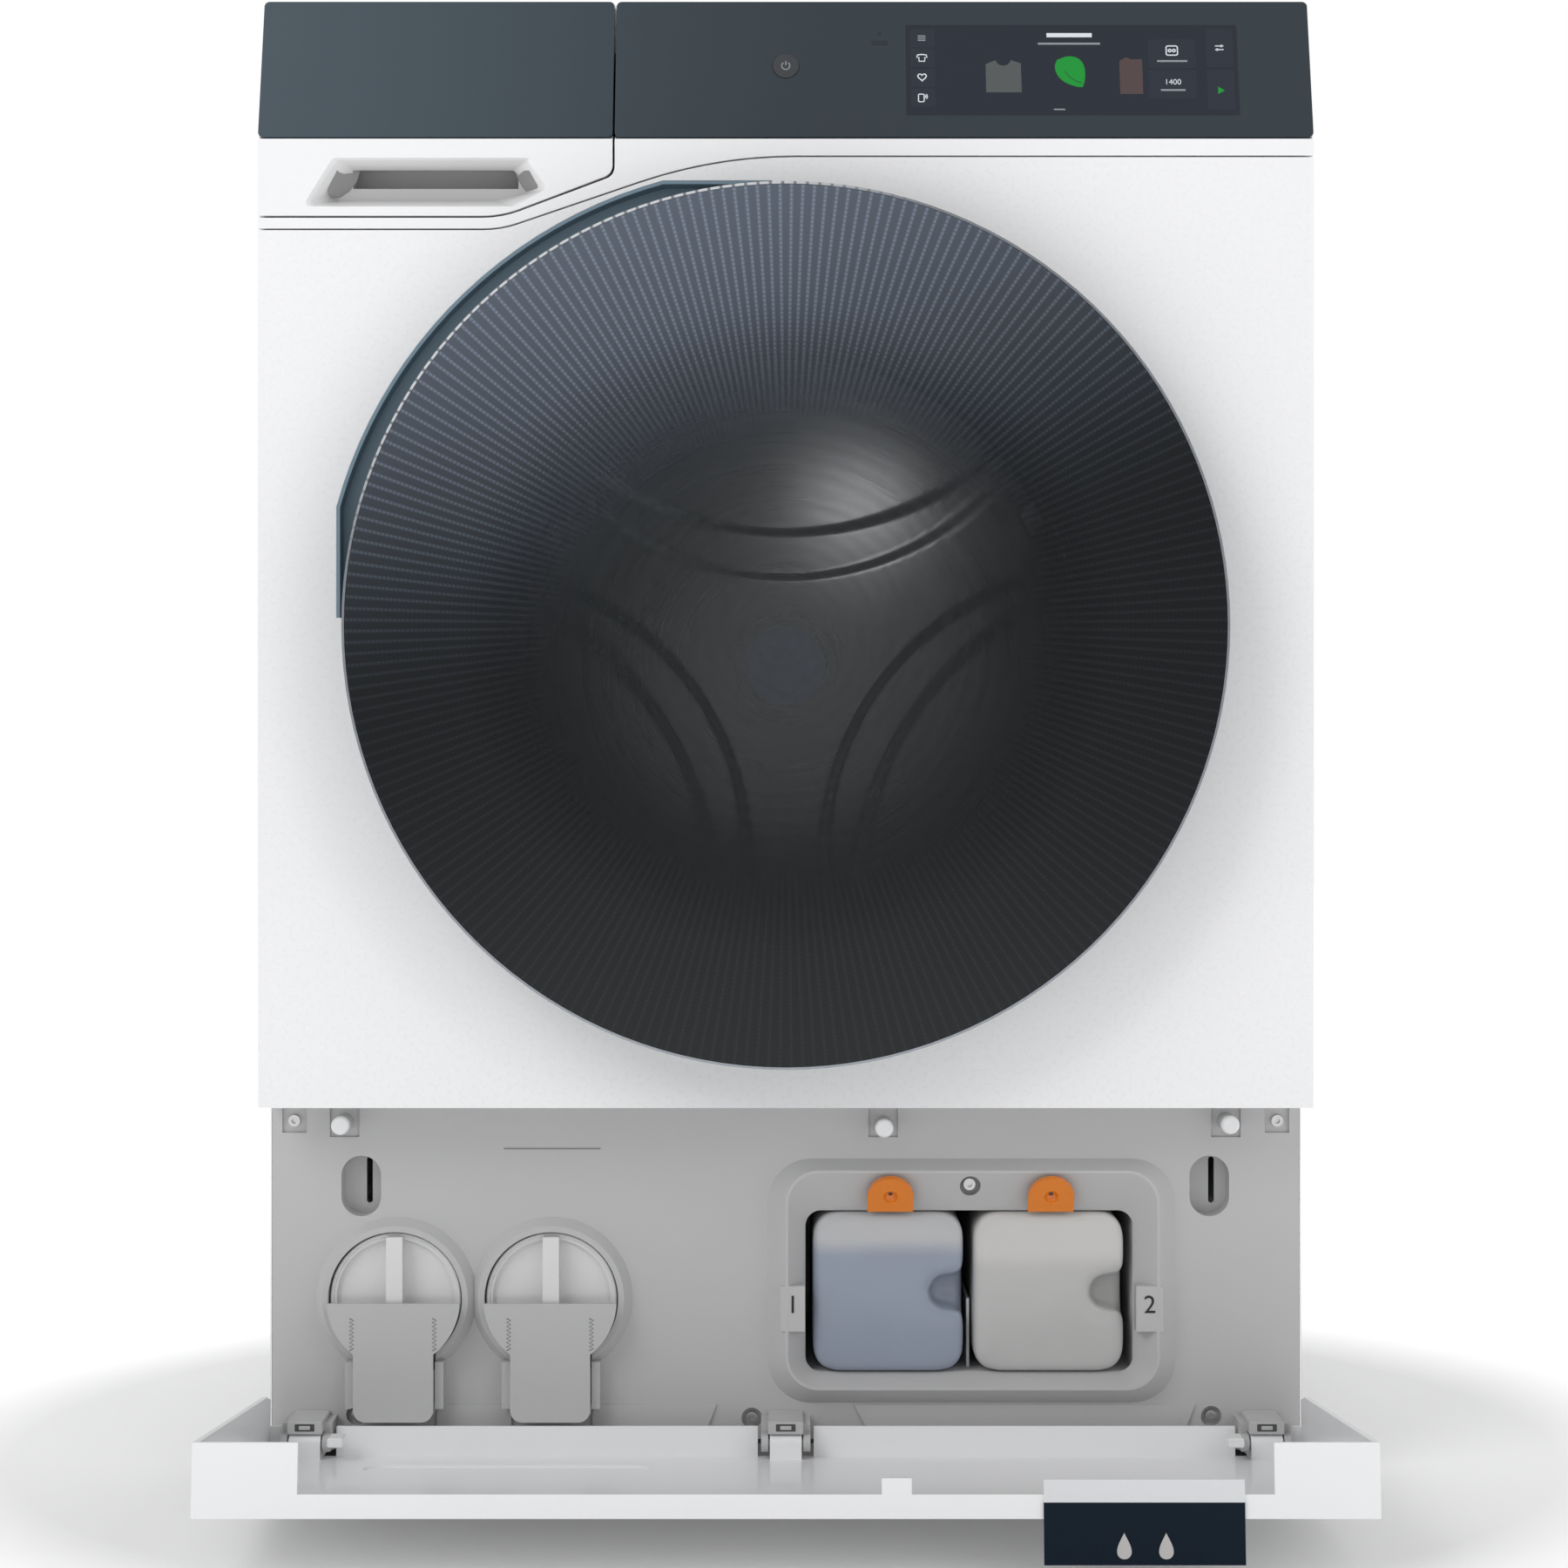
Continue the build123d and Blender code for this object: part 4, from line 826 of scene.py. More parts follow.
class Form:
    """A mesh under construction, in millimetres of the row frame."""

    def __init__(self) -> None:
        """Starts an empty mesh."""
        self.mesh = bmesh.new()

    def loft(
        self,
        rings: Sequence[Sequence[Point3]],
        cyclic: bool = True,
        capped: tuple[bool, bool] = (False, False),
    ) -> Form:
        """Skins a row of rings of equal count.

        Args:
            rings: Points of each ring.
            cyclic: Whether each ring closes on itself.
            capped: Whether the first and the last ring are filled.

        Returns:
            This form.
        """
        rows = [[self.mesh.verts.new(Vector(p) * MM) for p in ring] for ring in rings]
        for first, second in zip(rows, rows[1:]):
            count = len(first)
            for i in range(count if cyclic else count - 1):
                j = (i + 1) % count
                self.mesh.faces.new((first[i], first[j], second[j], second[i]))
        if capped[0]:
            self.mesh.faces.new(rows[0][::-1])
        if capped[1]:
            self.mesh.faces.new(rows[-1])
        return self

    def plate(self, outline: Sequence[Point2], near: float, far: float, place: Placer = upright) -> Form:
        """Closed plate between two depths.

        Args:
            outline: Corners of the outline.
            near: Depth of its face.
            far: Depth of its back.
            place: Turns outline and depth into a point of the row frame.

        Returns:
            This form.
        """
        rings = [[place(u, v, depth) for u, v in outline] for depth in (near, far)]
        return self.loft(rings, True, (True, True))

    def stroke(
        self,
        points: Sequence[Point2],
        width: float,
        near: float,
        far: float,
        place: Placer = upright,
        closed: bool = False,
    ) -> Form:
        """Flat line of constant width along a chain of points.

        Args:
            points: The chain.
            width: Width of the line.
            near: Depth of its face.
            far: Depth of its back.
            place: Turns outline and depth into a point of the row frame.
            closed: Whether the chain returns to its start.

        Returns:
            This form.
        """
        rows = []
        count = len(points)
        for i, (u, v) in enumerate(points):
            before = points[i - 1] if closed or i else points[i]
            after = points[(i + 1) % count] if closed or i < count - 1 else points[i]
            along = Vector((after[0] - before[0], after[1] - before[1])).normalized()
            du, dv = -along.y * width / 2, along.x * width / 2
            left, right = (u + du, v + dv), (u - du, v - dv)
            rows.append([place(*left, near), place(*right, near), place(*right, far), place(*left, far)])
        if closed:
            rows.append(rows[0])
        return self.loft(rows, True, (not closed, not closed))

    def revolve(
        self,
        profile: Sequence[Point2],
        x: float,
        z: float,
        steps: int = 128,
        closed: bool = True,
    ) -> Form:
        """Turns a profile about a line along Y.

        Args:
            profile: Points as radius and Y.
            x: Place of the line.
            z: Place of the line.
            steps: Segments around.
            closed: Whether the profile closes on itself.

        Returns:
            This form.
        """
        turns = [math.tau * i / steps for i in range(steps)]
        rings = [[(x + r * math.cos(t), y, z + r * math.sin(t)) for t in turns] for r, y in profile]
        if closed:
            rings.append(rings[0])
        return self.loft(rings)

    def piece(
        self,
        name: str,
        body: str,
        finish: Finish,
        slot: str,
        bevel: float = 0.0,
        crease: float = 32.0,
    ) -> bpy.types.Object:
        """Turns the form into a piece of the machine.

        Args:
            name: Name of the piece.
            body: Body it moves with.
            finish: Its finish.
            slot: Material slot of the record that it belongs to; not used.
            bevel: Width of its rounded edges, in millimetres.
            crease: Angle above which an edge stays sharp, in degrees.

        Returns:
            The object.
        """
        bmesh.ops.remove_doubles(self.mesh, verts=self.mesh.verts, dist=1e-7)
        bmesh.ops.recalc_face_normals(self.mesh, faces=self.mesh.faces)
        data = bpy.data.meshes.new(name)
        self.mesh.to_mesh(data)
        self.mesh.free()
        data.polygons.foreach_set("use_smooth", [True] * len(data.polygons))
        data.set_sharp_from_angle(angle=math.radians(crease))
        thing = bpy.data.objects.new(name, data)
        bpy.context.scene.collection.objects.link(thing)
        thing.data.materials.append(finish.material())
        if bevel:
            rounding = thing.modifiers.new("rounding", "BEVEL")
            rounding.width = bevel * MM
            rounding.segments = 2
            rounding.limit_method = "ANGLE"
            rounding.angle_limit = math.radians(crease)
        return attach(thing, body)


def arc(u: float, v: float, radius: float, start: float, end: float, steps: int = 16) -> list[Point2]:
    """Points along an arc.

    Args:
        u: Place of its centre.
        v: Place of its centre.
        radius: Its radius.
        start: First angle in degrees.
        end: Last angle in degrees.
        steps: Number of spans.

    Returns:
        The points.
    """
    angles = (math.radians(start + (end - start) * i / steps) for i in range(steps + 1))
    return [(u + radius * math.cos(a), v + radius * math.sin(a)) for a in angles]


def round_box(u0: float, u1: float, v0: float, v1: float, radius: float) -> list[Point2]:
    """Outline of a rounded rectangle between two corners."""
    corners = (
        (u1 - radius, v0 + radius, -90), (u1 - radius, v1 - radius, 0),
        (u0 + radius, v1 - radius, 90), (u0 + radius, v0 + radius, 180),
    )
    return [p for u, v, a in corners for p in arc(u, v, radius, a, a + 90, 6)]


def letters(
    text: str, size: float, u: float, v: float, near: float, far: float, place: Placer = upright
) -> Form:
    """Numerals as solid plates.

    Args:
        text: The numerals.
        size: Their height, in millimetres.
        u: Middle of the text.
        v: Middle of the text.
        near: Depth of their face.
        far: Depth of their back.
        place: Turns outline and depth into a point of the row frame.

    Returns:
        A form that holds the numerals.
    """
    curve = bpy.data.curves.new("text", "FONT")
    curve.body = text
    curve.size = size * 1.4
    curve.align_x = "CENTER"
    curve.align_y = "CENTER"
    curve.extrude = 0.5
    carrier = bpy.data.objects.new("text", curve)
    bpy.context.scene.collection.objects.link(carrier)
    depsgraph = bpy.context.evaluated_depsgraph_get()
    flat = bpy.data.meshes.new_from_object(carrier.evaluated_get(depsgraph))
    form = Form()
    form.mesh.from_mesh(flat)
    for vertex in form.mesh.verts:
        depth = near if vertex.co.z > 0 else far
        vertex.co = Vector(place(u + vertex.co.x, v + vertex.co.y, depth)) * MM
    bpy.data.objects.remove(carrier)
    bpy.data.meshes.remove(flat)
    return form


def bake(thing: bpy.types.Object, *modifiers: tuple[str, dict[str, object]]) -> None:
    """Runs modifiers on a piece and keeps their result as its mesh.

    Args:
        thing: The piece.
        *modifiers: Kinds of modifier with their settings.
    """
    for kind, settings in modifiers:
        modifier = thing.modifiers.new(kind.lower(), kind)
        for key, value in settings.items():
            setattr(modifier, key, value)
    depsgraph = bpy.context.evaluated_depsgraph_get()
    made = bpy.data.meshes.new_from_object(thing.evaluated_get(depsgraph))
    thing.modifiers.clear()
    thing.data = made


def copied(node: str, name: str, finish: Finish) -> bpy.types.Object:
    """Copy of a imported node's mesh, as a piece of its own.

    Args:
        node: Name of the node.
        name: Name of the piece.
        finish: Its finish.

    Returns:
        The object, which rides on nothing yet.
    """
    data = bpy.data.objects[node].data.copy()
    data.materials.clear()
    data.materials.append(finish.material())
    thing = bpy.data.objects.new(name, data)
    bpy.context.scene.collection.objects.link(thing)
    return thing


def dress_nodes(nodes: dict[str, bpy.types.Object], record: dict) -> None:
    """Gives every carried-over node the finish of its slot.

    Args:
        nodes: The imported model's nodes by name.
        record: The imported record.
    """
    slots = {part["node"]: part["material_slot"] for part in record["subparts"]}
    for name, thing in nodes.items():
        finish = NODE_DRESS.get(name, DRESS[slots[name]])
        if not thing.material_slots:
            thing.data.materials.append(None)
        for place in thing.material_slots:
            place.material = finish.material()


# ---- room ---------------------------------------------------------------------------------------


@dataclass
class Studio:
    """Pale floor, soft light and the camera, in metres."""

    eye: Point3 = (-0.001, -1.860, 0.4026)
    lens: float = 63.46
    sensor: float = 36.0
    floor_reach: float = 9.0
    sky: float = 0.5

    def build(self) -> None:
        """Builds the room."""
        self._camera()
        self._world()
        self._floor()
        self._lamp("key", (-2.2, -2.5, 2.8), 2.0, 44.0)
        self._lamp("fill", (2.6, -2.6, 2.0), 2.6, 18.0)
        self._lamp("rear", (0.5, 3.0, 2.6), 2.4, 30.0)
        self._lamp("drum_light", (0.06, -0.16, 0.63), 0.06, 0.045, (0.0, 0.12, 0.45))

    def _camera(self) -> None:
        """Level camera in front of the door."""
        data = bpy.data.cameras.new("camera")
        data.lens = self.lens
        data.sensor_width = self.sensor
        camera = bpy.data.objects.new("camera", data)
        camera.location = self.eye
        camera.rotation_euler = (math.radians(90), 0, 0)
        bpy.context.scene.collection.objects.link(camera)
        bpy.context.scene.camera = camera

    def _world(self) -> None:
        """White surroundings, a little softer as light than as background."""
        world = bpy.data.worlds.new("studio")
        bpy.context.scene.world = world
        world.use_nodes = True
        tree = world.node_tree
        tree.nodes.clear()
        paths = tree.nodes.new("ShaderNodeLightPath")
        mixer = tree.nodes.new("ShaderNodeMixShader")
        output = tree.nodes.new("ShaderNodeOutputWorld")
        for index, strength in ((1, self.sky), (2, 1.0)):
            light = tree.nodes.new("ShaderNodeBackground")
            light.inputs[0].default_value = (1.0, 1.0, 1.0, 1.0)
            light.inputs[1].default_value = strength
            tree.links.new(light.outputs[0], mixer.inputs[index])
        tree.links.new(paths.outputs["Is Camera Ray"], mixer.inputs[0])
        tree.links.new(mixer.outputs[0], output.inputs[0])
        bpy.context.scene.view_settings.view_transform = "Standard"

    def _floor(self) -> None:
        """Large pale floor that glows to fade into the surroundings; its glow drops near the machine as a
        painted shadow pool.
        """
        reach = self.floor_reach
        data = bpy.data.meshes.new("floor")
        corners = [(-reach, -reach, 0), (reach, -reach, 0), (reach, reach, 0), (-reach, reach, 0)]
        data.from_pydata(corners, [], [(0, 1, 2, 3)])
        floor = bpy.data.objects.new("floor", data)
        bpy.context.scene.collection.objects.link(floor)
        net = Net("finish_floor")
        x, y, _ = net.axes()
        away = (x * x * 0.64 + (y + 150.0) * (y + 150.0)) ** 0.5
        tone = net.mix(net.noise(2.0, 2.0), (0.9, 0.9, 0.9), (0.93, 0.93, 0.93))
        # Painted shadow: the floor's glow drops close to the machine, darkest beneath the flap.
        stops = ((0.27, (0.06, 0.06, 0.06)), (0.37, (0.34, 0.34, 0.34)), (1.0, (0.65, 0.65, 0.65)))
        glow = net.ramp(away.over(0.0, 1100.0), stops)
        net.surface(Base_Color=tone, Roughness=0.9, Emission_Color=glow, Emission_Strength=1.0)
        data.materials.append(net.material)

    @staticmethod
    def _lamp(
        name: str, place: Point3, size: float, power: float, target: Point3 = (0.0, 0.0, 0.45)
    ) -> None:
        """Adds a soft area lamp that faces the machine.

        Args:
            name: Name of the lamp.
            place: Where it hangs.
            size: Edge of its square face.
            power: Its power in watts.
            target: Point that it faces.
        """
        data = bpy.data.lights.new(name, "AREA")
        data.energy = power
        data.size = size
        lamp = bpy.data.objects.new(name, data)
        lamp.location = place
        aim = Vector(target) - Vector(place)
        lamp.rotation_euler = aim.to_track_quat("-Z", "Y").to_euler()
        bpy.context.scene.collection.objects.link(lamp)


# ---- drum -----------------------------------------------------------------------------------------


@dataclass
class Drum:
    """Honeycomb drum with its pressed rear wall."""

    radius: float = 239.6
    near: float = -212.0
    far: float = 128.0
    mouth: float = 172.0
    columns: int = 66
    hollow: float = 2.2
    hole: float = 1.9
    star_rise: float = 6.0
    lobe_radius: float = 202.7
    lobe_reach: float = 268.5
    rib_radius: float = 230.0
    rib_reach: float = 328.0

    def build(self) -> None:
        """Builds the jacket, its two rolled rims and the rear wall."""
        self._jacket()
        self._rims()
        self._rear()

    def _jacket(self) -> None:
        """Hexagonal hollows with a hole in the middle of each, wrapped round the drum."""
        around = math.tau * self.radius
        pitch = around / self.columns
        row_step = pitch * math.sqrt(3) / 2
        low, high = self.near + 16.0, self.far - 14.0
        rows = int((high - low) / row_step)
        start = (low + high) / 2 - row_step * (rows - 1) / 2
        form = Form()
        corners: dict[tuple[int, int], bmesh.types.BMVert] = {}

        def vertex(across: float, y: float, radius: float) -> bmesh.types.BMVert:
            """Adds a point at an unrolled place."""
            turn = across / self.radius
            return form.mesh.verts.new(
                Vector((radius * math.cos(turn), y, AXIS_Z + radius * math.sin(turn))) * MM
            )

        for row in range(rows):
            y = start + row * row_step
            for column in range(self.columns):
                across = (column + 0.5 * (row % 2)) * pitch
                rings = []
                for share, depth in ((1 / math.sqrt(3), 0.0), (0.47, 1.2), (0.36, self.hollow)):
                    ring = []
                    for k in range(6):
                        angle = math.radians(60 * k + 30)
                        u = across + share * pitch * math.cos(angle)
                        w = y + share * pitch * math.sin(angle)
                        if depth:
                            ring.append(vertex(u, w, self.radius + depth))
                            continue
                        key = (round((u % around) * 4) % round(around * 4), round(w * 4))
                        if key not in corners:
                            corners[key] = vertex(u, w, self.radius)
                        ring.append(corners[key])
                    rings.append(ring)
                angles = [math.radians(60 * k + 30) for k in range(6)]
                floor = self.radius + self.hollow
                rings.append([
                    vertex(across + self.hole * math.cos(a), y + self.hole * math.sin(a), floor)
                    for a in angles
                ])
                for first, second in zip(rings, rings[1:]):
                    for k in range(6):
                        quad = (first[k], first[(k + 1) % 6], second[(k + 1) % 6], second[k])
                        if len(set(quad)) == 4:
                            form.mesh.faces.new(quad)
        jacket = form.piece("drum_honeycomb", "drum", STAINLESS, "stainless", crease=50.0)
        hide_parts("drum_shell")

    def _rims(self) -> None:
        """Rolled front mouth and the rear flange."""
        mouth = [
            (self.mouth, self.near + 2.0), (self.mouth - 2.0, self.near + 5.0), (self.mouth, self.near + 8.0),
            (self.mouth + 5.0, self.near + 5.0), (self.radius - 10.0, self.near + 3.0),
            (self.radius - 3.0, self.near + 6.0), (self.radius - 1.0, self.near + 14.0),
            (self.radius - 1.0, self.near + 24.0), (self.radius + 0.3, self.near + 24.0),
            (self.radius + 0.3, self.near + 6.0), (self.radius - 3.0, self.near),
            (self.mouth + 3.0, self.near),
        ]
        Form().revolve(mouth, 0, AXIS_Z).piece("drum_mouth", "drum", STAINLESS, "stainless")
        rear = [
            (self.radius - 1.0, self.far - 24.0), (self.radius + 0.3, self.far - 24.0),
            (self.radius + 0.3, self.far), (self.radius - 1.0, self.far),
        ]
        Form().revolve(rear, 0, AXIS_Z).piece("drum_rear_flange", "drum", STAINLESS, "stainless")

    def _relief(self, x: float, z: float) -> float:
        """Height of the rear wall's pressed star at a place, from 0 to 1.

        Args:
            x: Place from the axis.
            z: Place from the axis.

        Returns:
            The share of the full rise.
        """
        rise = 1.0
        for turn in (90, 210, 330):
            a = math.radians(turn)
            cx, cz = math.cos(a), math.sin(a)
            gap = math.hypot(x - self.lobe_reach * cx, z - self.lobe_reach * cz) - self.lobe_radius
            rise = min(rise, 0.55 + 0.45 * min(1.0, max(0.0, gap / 4.0)))
            rib = math.hypot(x - self.rib_reach * cx, z - self.rib_reach * cz) - self.rib_radius
            if rib < 4.0:
                rise = min(rise, 0.55 * min(1.0, max(0.0, rib / 4.0)))
        radius = math.hypot(x, z)
        collar = 0.16 * max(0.0, 1.0 - abs(radius - 44.5) / 2.0)
        return max(0.0, min(1.0, rise + collar * 0.5))

    def _rear(self) -> None:
        """Rear wall with a raised three-armed star between three lens-shaped fields."""
        form = Form()
        steps, shells = 240, 110
        rings = []
        for shell in range(shells + 1):
            radius = 4.0 + (self.radius - 5.0) * shell / shells
            ring = []
            for i in range(steps):
                turn = math.tau * i / steps
                x, z = radius * math.cos(turn), radius * math.sin(turn)
                rise = self._relief(x, z) * self.star_rise * min(1.0, (self.radius - radius) / 12.0)
                ring.append((x, self.far - 2.2 - rise, AXIS_Z + z))
            rings.append(ring)
        form.loft(rings, capped=(True, False))
        back = [[(x, self.far - 0.4, z) for x, _, z in ring] for ring in (rings[-1], rings[0])]
        form.loft([rings[-1], *back], capped=(False, True))
        wall = form.piece("drum_rear_wall", "drum", STAINLESS, "stainless", crease=60.0)
        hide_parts("drum_back")


# ---- soft links between the casing and the tub --------------------------------------------------


@dataclass
class TubLinks:
    """Gasket and springs, copied from the imported nodes."""

    gasket_near: float = -0.29
    gasket_far: float = -0.235
    spring_top: float = 0.78
    spring_foot: float = 0.612

    def build(self) -> None:
        """Builds the rubber gasket and the two springs."""
        gasket = copied("gasket", "door_gasket", SEAL)
        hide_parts("gasket")
        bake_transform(gasket)
        springs = copied("suspension_springs", "tub_springs", STEEL)
        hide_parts("suspension_springs")
        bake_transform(springs)


# ---- door ---------------------------------------------------------------------------------------


@dataclass
class Door:
    """Fine parts of the door: beads and screws on its inner side."""

    cover_y: float = -304.0
    cover_inner: float = 178.0
    cover_outer: float = 222.0
    screw_circle: float = 214.0
    screws: int = 10
    screw_radius: float = 4.2

    def build(self) -> None:
        """Builds the inner side's raised beads and its screws."""
        for number, radius in enumerate((self.cover_inner + 3.0, self.cover_outer - 2.0), 1):
            bead = [
                (radius - 1.6, self.cover_y - 0.2), (radius - 0.8, self.cover_y + 0.9),
                (radius + 0.8, self.cover_y + 0.9), (radius + 1.6, self.cover_y - 0.2),
            ]
            Form().revolve(bead, 0, DOOR_Z, 160).piece(f"door_bead_{number}", "door", RING, "door_ring")
        form = Form()
        for i in range(self.screws):
            turn = math.radians(18 + 360 / self.screws * i)
            x, z = self.screw_circle * math.cos(turn), DOOR_Z + self.screw_circle * math.sin(turn)
            if x > 150 and abs(z - DOOR_Z) < 60:
                continue
            head = [
                (0.1, self.cover_y + 0.6), (1.4, self.cover_y + 0.6), (1.9, self.cover_y + 1.6),
                (self.screw_radius - 1, self.cover_y + 1.5), (self.screw_radius, self.cover_y + 0.4),
                (self.screw_radius, self.cover_y - 0.3), (0.1, self.cover_y - 0.3),
            ]
            form.revolve(head, x, z, 20)
        form.piece("door_screws", "door", STEEL, "steel_parts")


# ---- control band --------------------------------------------------------------------------------


@dataclass
class Display:
    """Colour display and touch marks behind the band's glass, in millimetres."""

    left: float = 68.2
    right: float = 257.0
    low: float = 780.8
    high: float = 835.7
    face: float = -0.08
    seat: float = 0.3
    column: float = 77.4
    column_rows: tuple[float, ...] = (827.6, 815.6, 803.6, 791.2)
    tile_left: float = 206.2
    tile_right: float = 233.2
    tile_rows: tuple[float, ...] = (826.8, 809.2, 808.2, 790.6)
    edge_left: float = 239.0
    edge_right: float = 254.6
    line: float = 1.1

    def build(self) -> None:
        """Builds the screen and everything shown on it."""
        self._panels()
        self._column_icons()
        self._pictures()
        self._tiles()
        self._band_marks()

    def _plate(self, name: str, outline: Sequence[Point2], finish: Finish, lift: float) -> None:
        """Adds a thin printed plate.

        Args:
            name: Name of the piece.
            outline: Corners as X and height.
            finish: Its finish.
            lift: How far it stands before the screen's face.
        """
        points = [(x, climb_of(z)) for x, z in outline]
        form = Form().plate(points, self.face - lift, self.seat, on_band)
        form.piece(name, "cabinet", finish, "band_glass")

    def _strokes(
        self,
        name: str,
        chains: Sequence[tuple[Sequence[Point2], bool]],
        finish: Finish,
        lift: float,
        width: float,
    ) -> None:
        """Adds lines of constant width.

        Args:
            name: Name of the piece.
            chains: Points of each line, and whether it closes on itself.
            finish: Their finish.
            lift: How far they stand before the screen's face.
            width: Width of the lines.
        """
        form = Form()
        for points, closed in chains:
            chain = [(x, climb_of(z)) for x, z in points]
            form.stroke(chain, width, self.face - lift, self.seat, on_band, closed)
        form.piece(name, "cabinet", finish, "band_glass")

    def _panels(self) -> None:
        """Screen ground and its slightly lighter fields."""
        self._plate("display_screen", round_box(self.left, self.right, self.low, self.high, 1.0), SCREEN, 0.0)
        lows = (785.6, 797.6, 809.8, 821.8)
        fields = [(self.column - 6.6, self.column + 7.4, low, low + 11.4) for low in lows]
        fields += [(self.tile_left, self.tile_right, self.tile_rows[1], self.tile_rows[0]),
                   (self.tile_left, self.tile_right, self.tile_rows[3], self.tile_rows[2])]
        fields += [(self.edge_left, self.edge_right, 809.6, 833.4),
                   (self.edge_left, self.edge_right, 784.0, 808.4)]
        for number, (x0, x1, z0, z1) in enumerate(fields, 1):
            self._plate(f"display_field_{number}", round_box(x0, x1, z0, z1, 1.2), TILE, 0.05)

    def _column_icons(self) -> None:
        """Menu lines, shirt, heart and handset in the left column."""
        x, (menu, shirt, heart, phone) = self.column, self.column_rows
        bars = [([(x - 2.2, menu + dz), (x + 2.2, menu + dz)], False) for dz in (-1.3, 0.0, 1.3)]
        self._strokes("icon_menu", bars, DIM_MARK, 0.1, 0.7)
        half = [(0.9, 2.0), (2.5, 1.7), (2.9, 0.2), (1.7, 0.3), (1.6, -2.1)]
        outline = [(x + dx, shirt + dz) for dx, dz in half]
        outline += [(x - dx, shirt + dz) for dx, dz in reversed(half)]
        self._strokes("icon_shirt", [(outline, True)], MARK, 0.1, 0.7)
        turns = [math.tau * i / 28 for i in range(28)]
        heights = [
            13 * math.cos(t) - 5 * math.cos(2 * t) - 2 * math.cos(3 * t) - math.cos(4 * t)
            for t in turns
        ]
        curve = [(x + 2.4 * math.sin(t) ** 3, heart + 0.3 + 0.15 * h) for t, h in zip(turns, heights)]
        self._strokes("icon_heart", [(curve, True)], MARK, 0.1, 0.7)
        body = round_box(x - 2.2, x + 1.0, phone - 2.3, phone + 2.3, 0.7)
        waves = [(arc(x + 1.0, phone + 0.9, r, -50, 50, 8), False) for r in (0.9, 1.8)]
        self._strokes("icon_handset", [(body, True), *waves], MARK, 0.1, 0.6)

    def _pictures(self) -> None:
        """Shirt, leaf and half-faded shirt of the programme row."""
        low, high = 794.6, 813.8
        shirt = [(113.6, low), (133.8, low), (133.6, high - 1.6), (129.0, high), (127.2, high + 0.6)]
        shirt += arc(123.6, high + 1.2, 3.7, -10, -170, 12) + [(120.0, high + 0.6), (113.6, high - 2.0)]
        self._plate("picture_shirt", shirt, SHIRT, 0.1)
        collar = arc(123.6, high + 1.4, 4.0, -5, -175, 14)
        self._strokes("picture_collar", [(collar, False)], SCREEN, 0.14, 0.8)
        base, tip = (154.2, 814.3), (168.4, 797.8)
        leaf = [base] + [self._leaf_point(base, tip, i / 14, 1) for i in range(1, 14)]
        leaf += [tip] + [self._leaf_point(base, tip, i / 14, -1) for i in range(13, 0, -1)]
        self._plate("picture_leaf", leaf, GREEN, 0.1)
        vein = [(158.4, 807.2), (161.5, 803.6), (165.0, 801.2), (168.2, 800.2)]
        self._strokes("picture_leaf_vein", [(vein, False)], DEEP_GREEN, 0.14, 0.5)
        rose = [
            (189.6, 793.6), (202.6, 793.6), (202.6, 814.8), (196.2, 814.6), (193.6, 816.0), (189.6, 813.6),
        ]
        self._plate("picture_next_shirt", rose, ROSY, 0.1)
        self._strokes("page_mark", [([(151.7, 784.3), (158.1, 784.3)], False)], DIM_MARK, 0.1, 0.8)
        self._strokes("title_bar", [([(148.6, 829.4), (174.4, 829.4)], False)], MARK, 0.1, 2.6)
        self._strokes("subtitle_bar", [([(143.6, 824.2), (179.0, 824.2)], False)], DIM_MARK, 0.1, 1.2)

    @staticmethod
    def _leaf_point(base: Point2, tip: Point2, share: float, side: int) -> Point2:
        """Point on one edge of the leaf.

        Args:
            base: Pointed end.
            tip: Round end.
            share: Place along the leaf.
            side: 1 or -1 for its two edges.

        Returns:
            The point.
        """
        along = Vector((tip[0] - base[0], tip[1] - base[1]))
        across = Vector((-along.y, along.x))
        swell = 0.46 * math.sin(math.pi * share ** 0.8) ** 0.75
        place = Vector(base) + along * share + across * swell * side * (1.0 if side > 0 else 0.62)
        return (place.x, place.y)

    def _tiles(self) -> None:
        """Dosing and spin tiles, sliders and start arrow."""
        x = (self.tile_left + self.tile_right) / 2
        frame = round_box(x - 3.2, x + 3.2, 817.2, 822.8, 1.0)
        dots = [(arc(x + dx, 820.0, 0.8, 0, 330, 10), True) for dx in (-1.2, 1.2)]
        self._strokes("icon_dosing", [(frame, True), *dots], MARK, 0.1, 0.7)
        self._strokes("dosing_bar", [([(x - 8.6, 813.6), (x + 8.6, 813.6)], False)], DIM_MARK, 0.1, 1.1)
        self._strokes("spin_bar", [([(x - 7.0, 796.0), (x + 7.0, 796.0)], False)], DIM_MARK, 0.1, 1.1)
        spin = letters("1400", 3.4, x, climb_of(800.8), self.face - 0.1, self.seat, on_band)
        spin.piece("spin_number", "cabinet", MARK, "band_glass")
        edge = (self.edge_left + self.edge_right) / 2
        slides = [([(edge - 2.4, z), (edge + 2.4, z)], False) for z in (820.6, 822.8)]
        knobs = [(arc(edge + dx, z, 0.5, 0, 315, 8), True) for dx, z in ((1.2, 822.8), (-1.2, 820.6))]
        self._strokes("icon_sliders", slides + knobs, MARK, 0.1, 0.6)
        arrow = [(edge - 1.7, 793.6), (edge + 2.2, 795.8), (edge - 1.7, 798.0)]
        self._plate("icon_start", arrow, GREEN, 0.1)

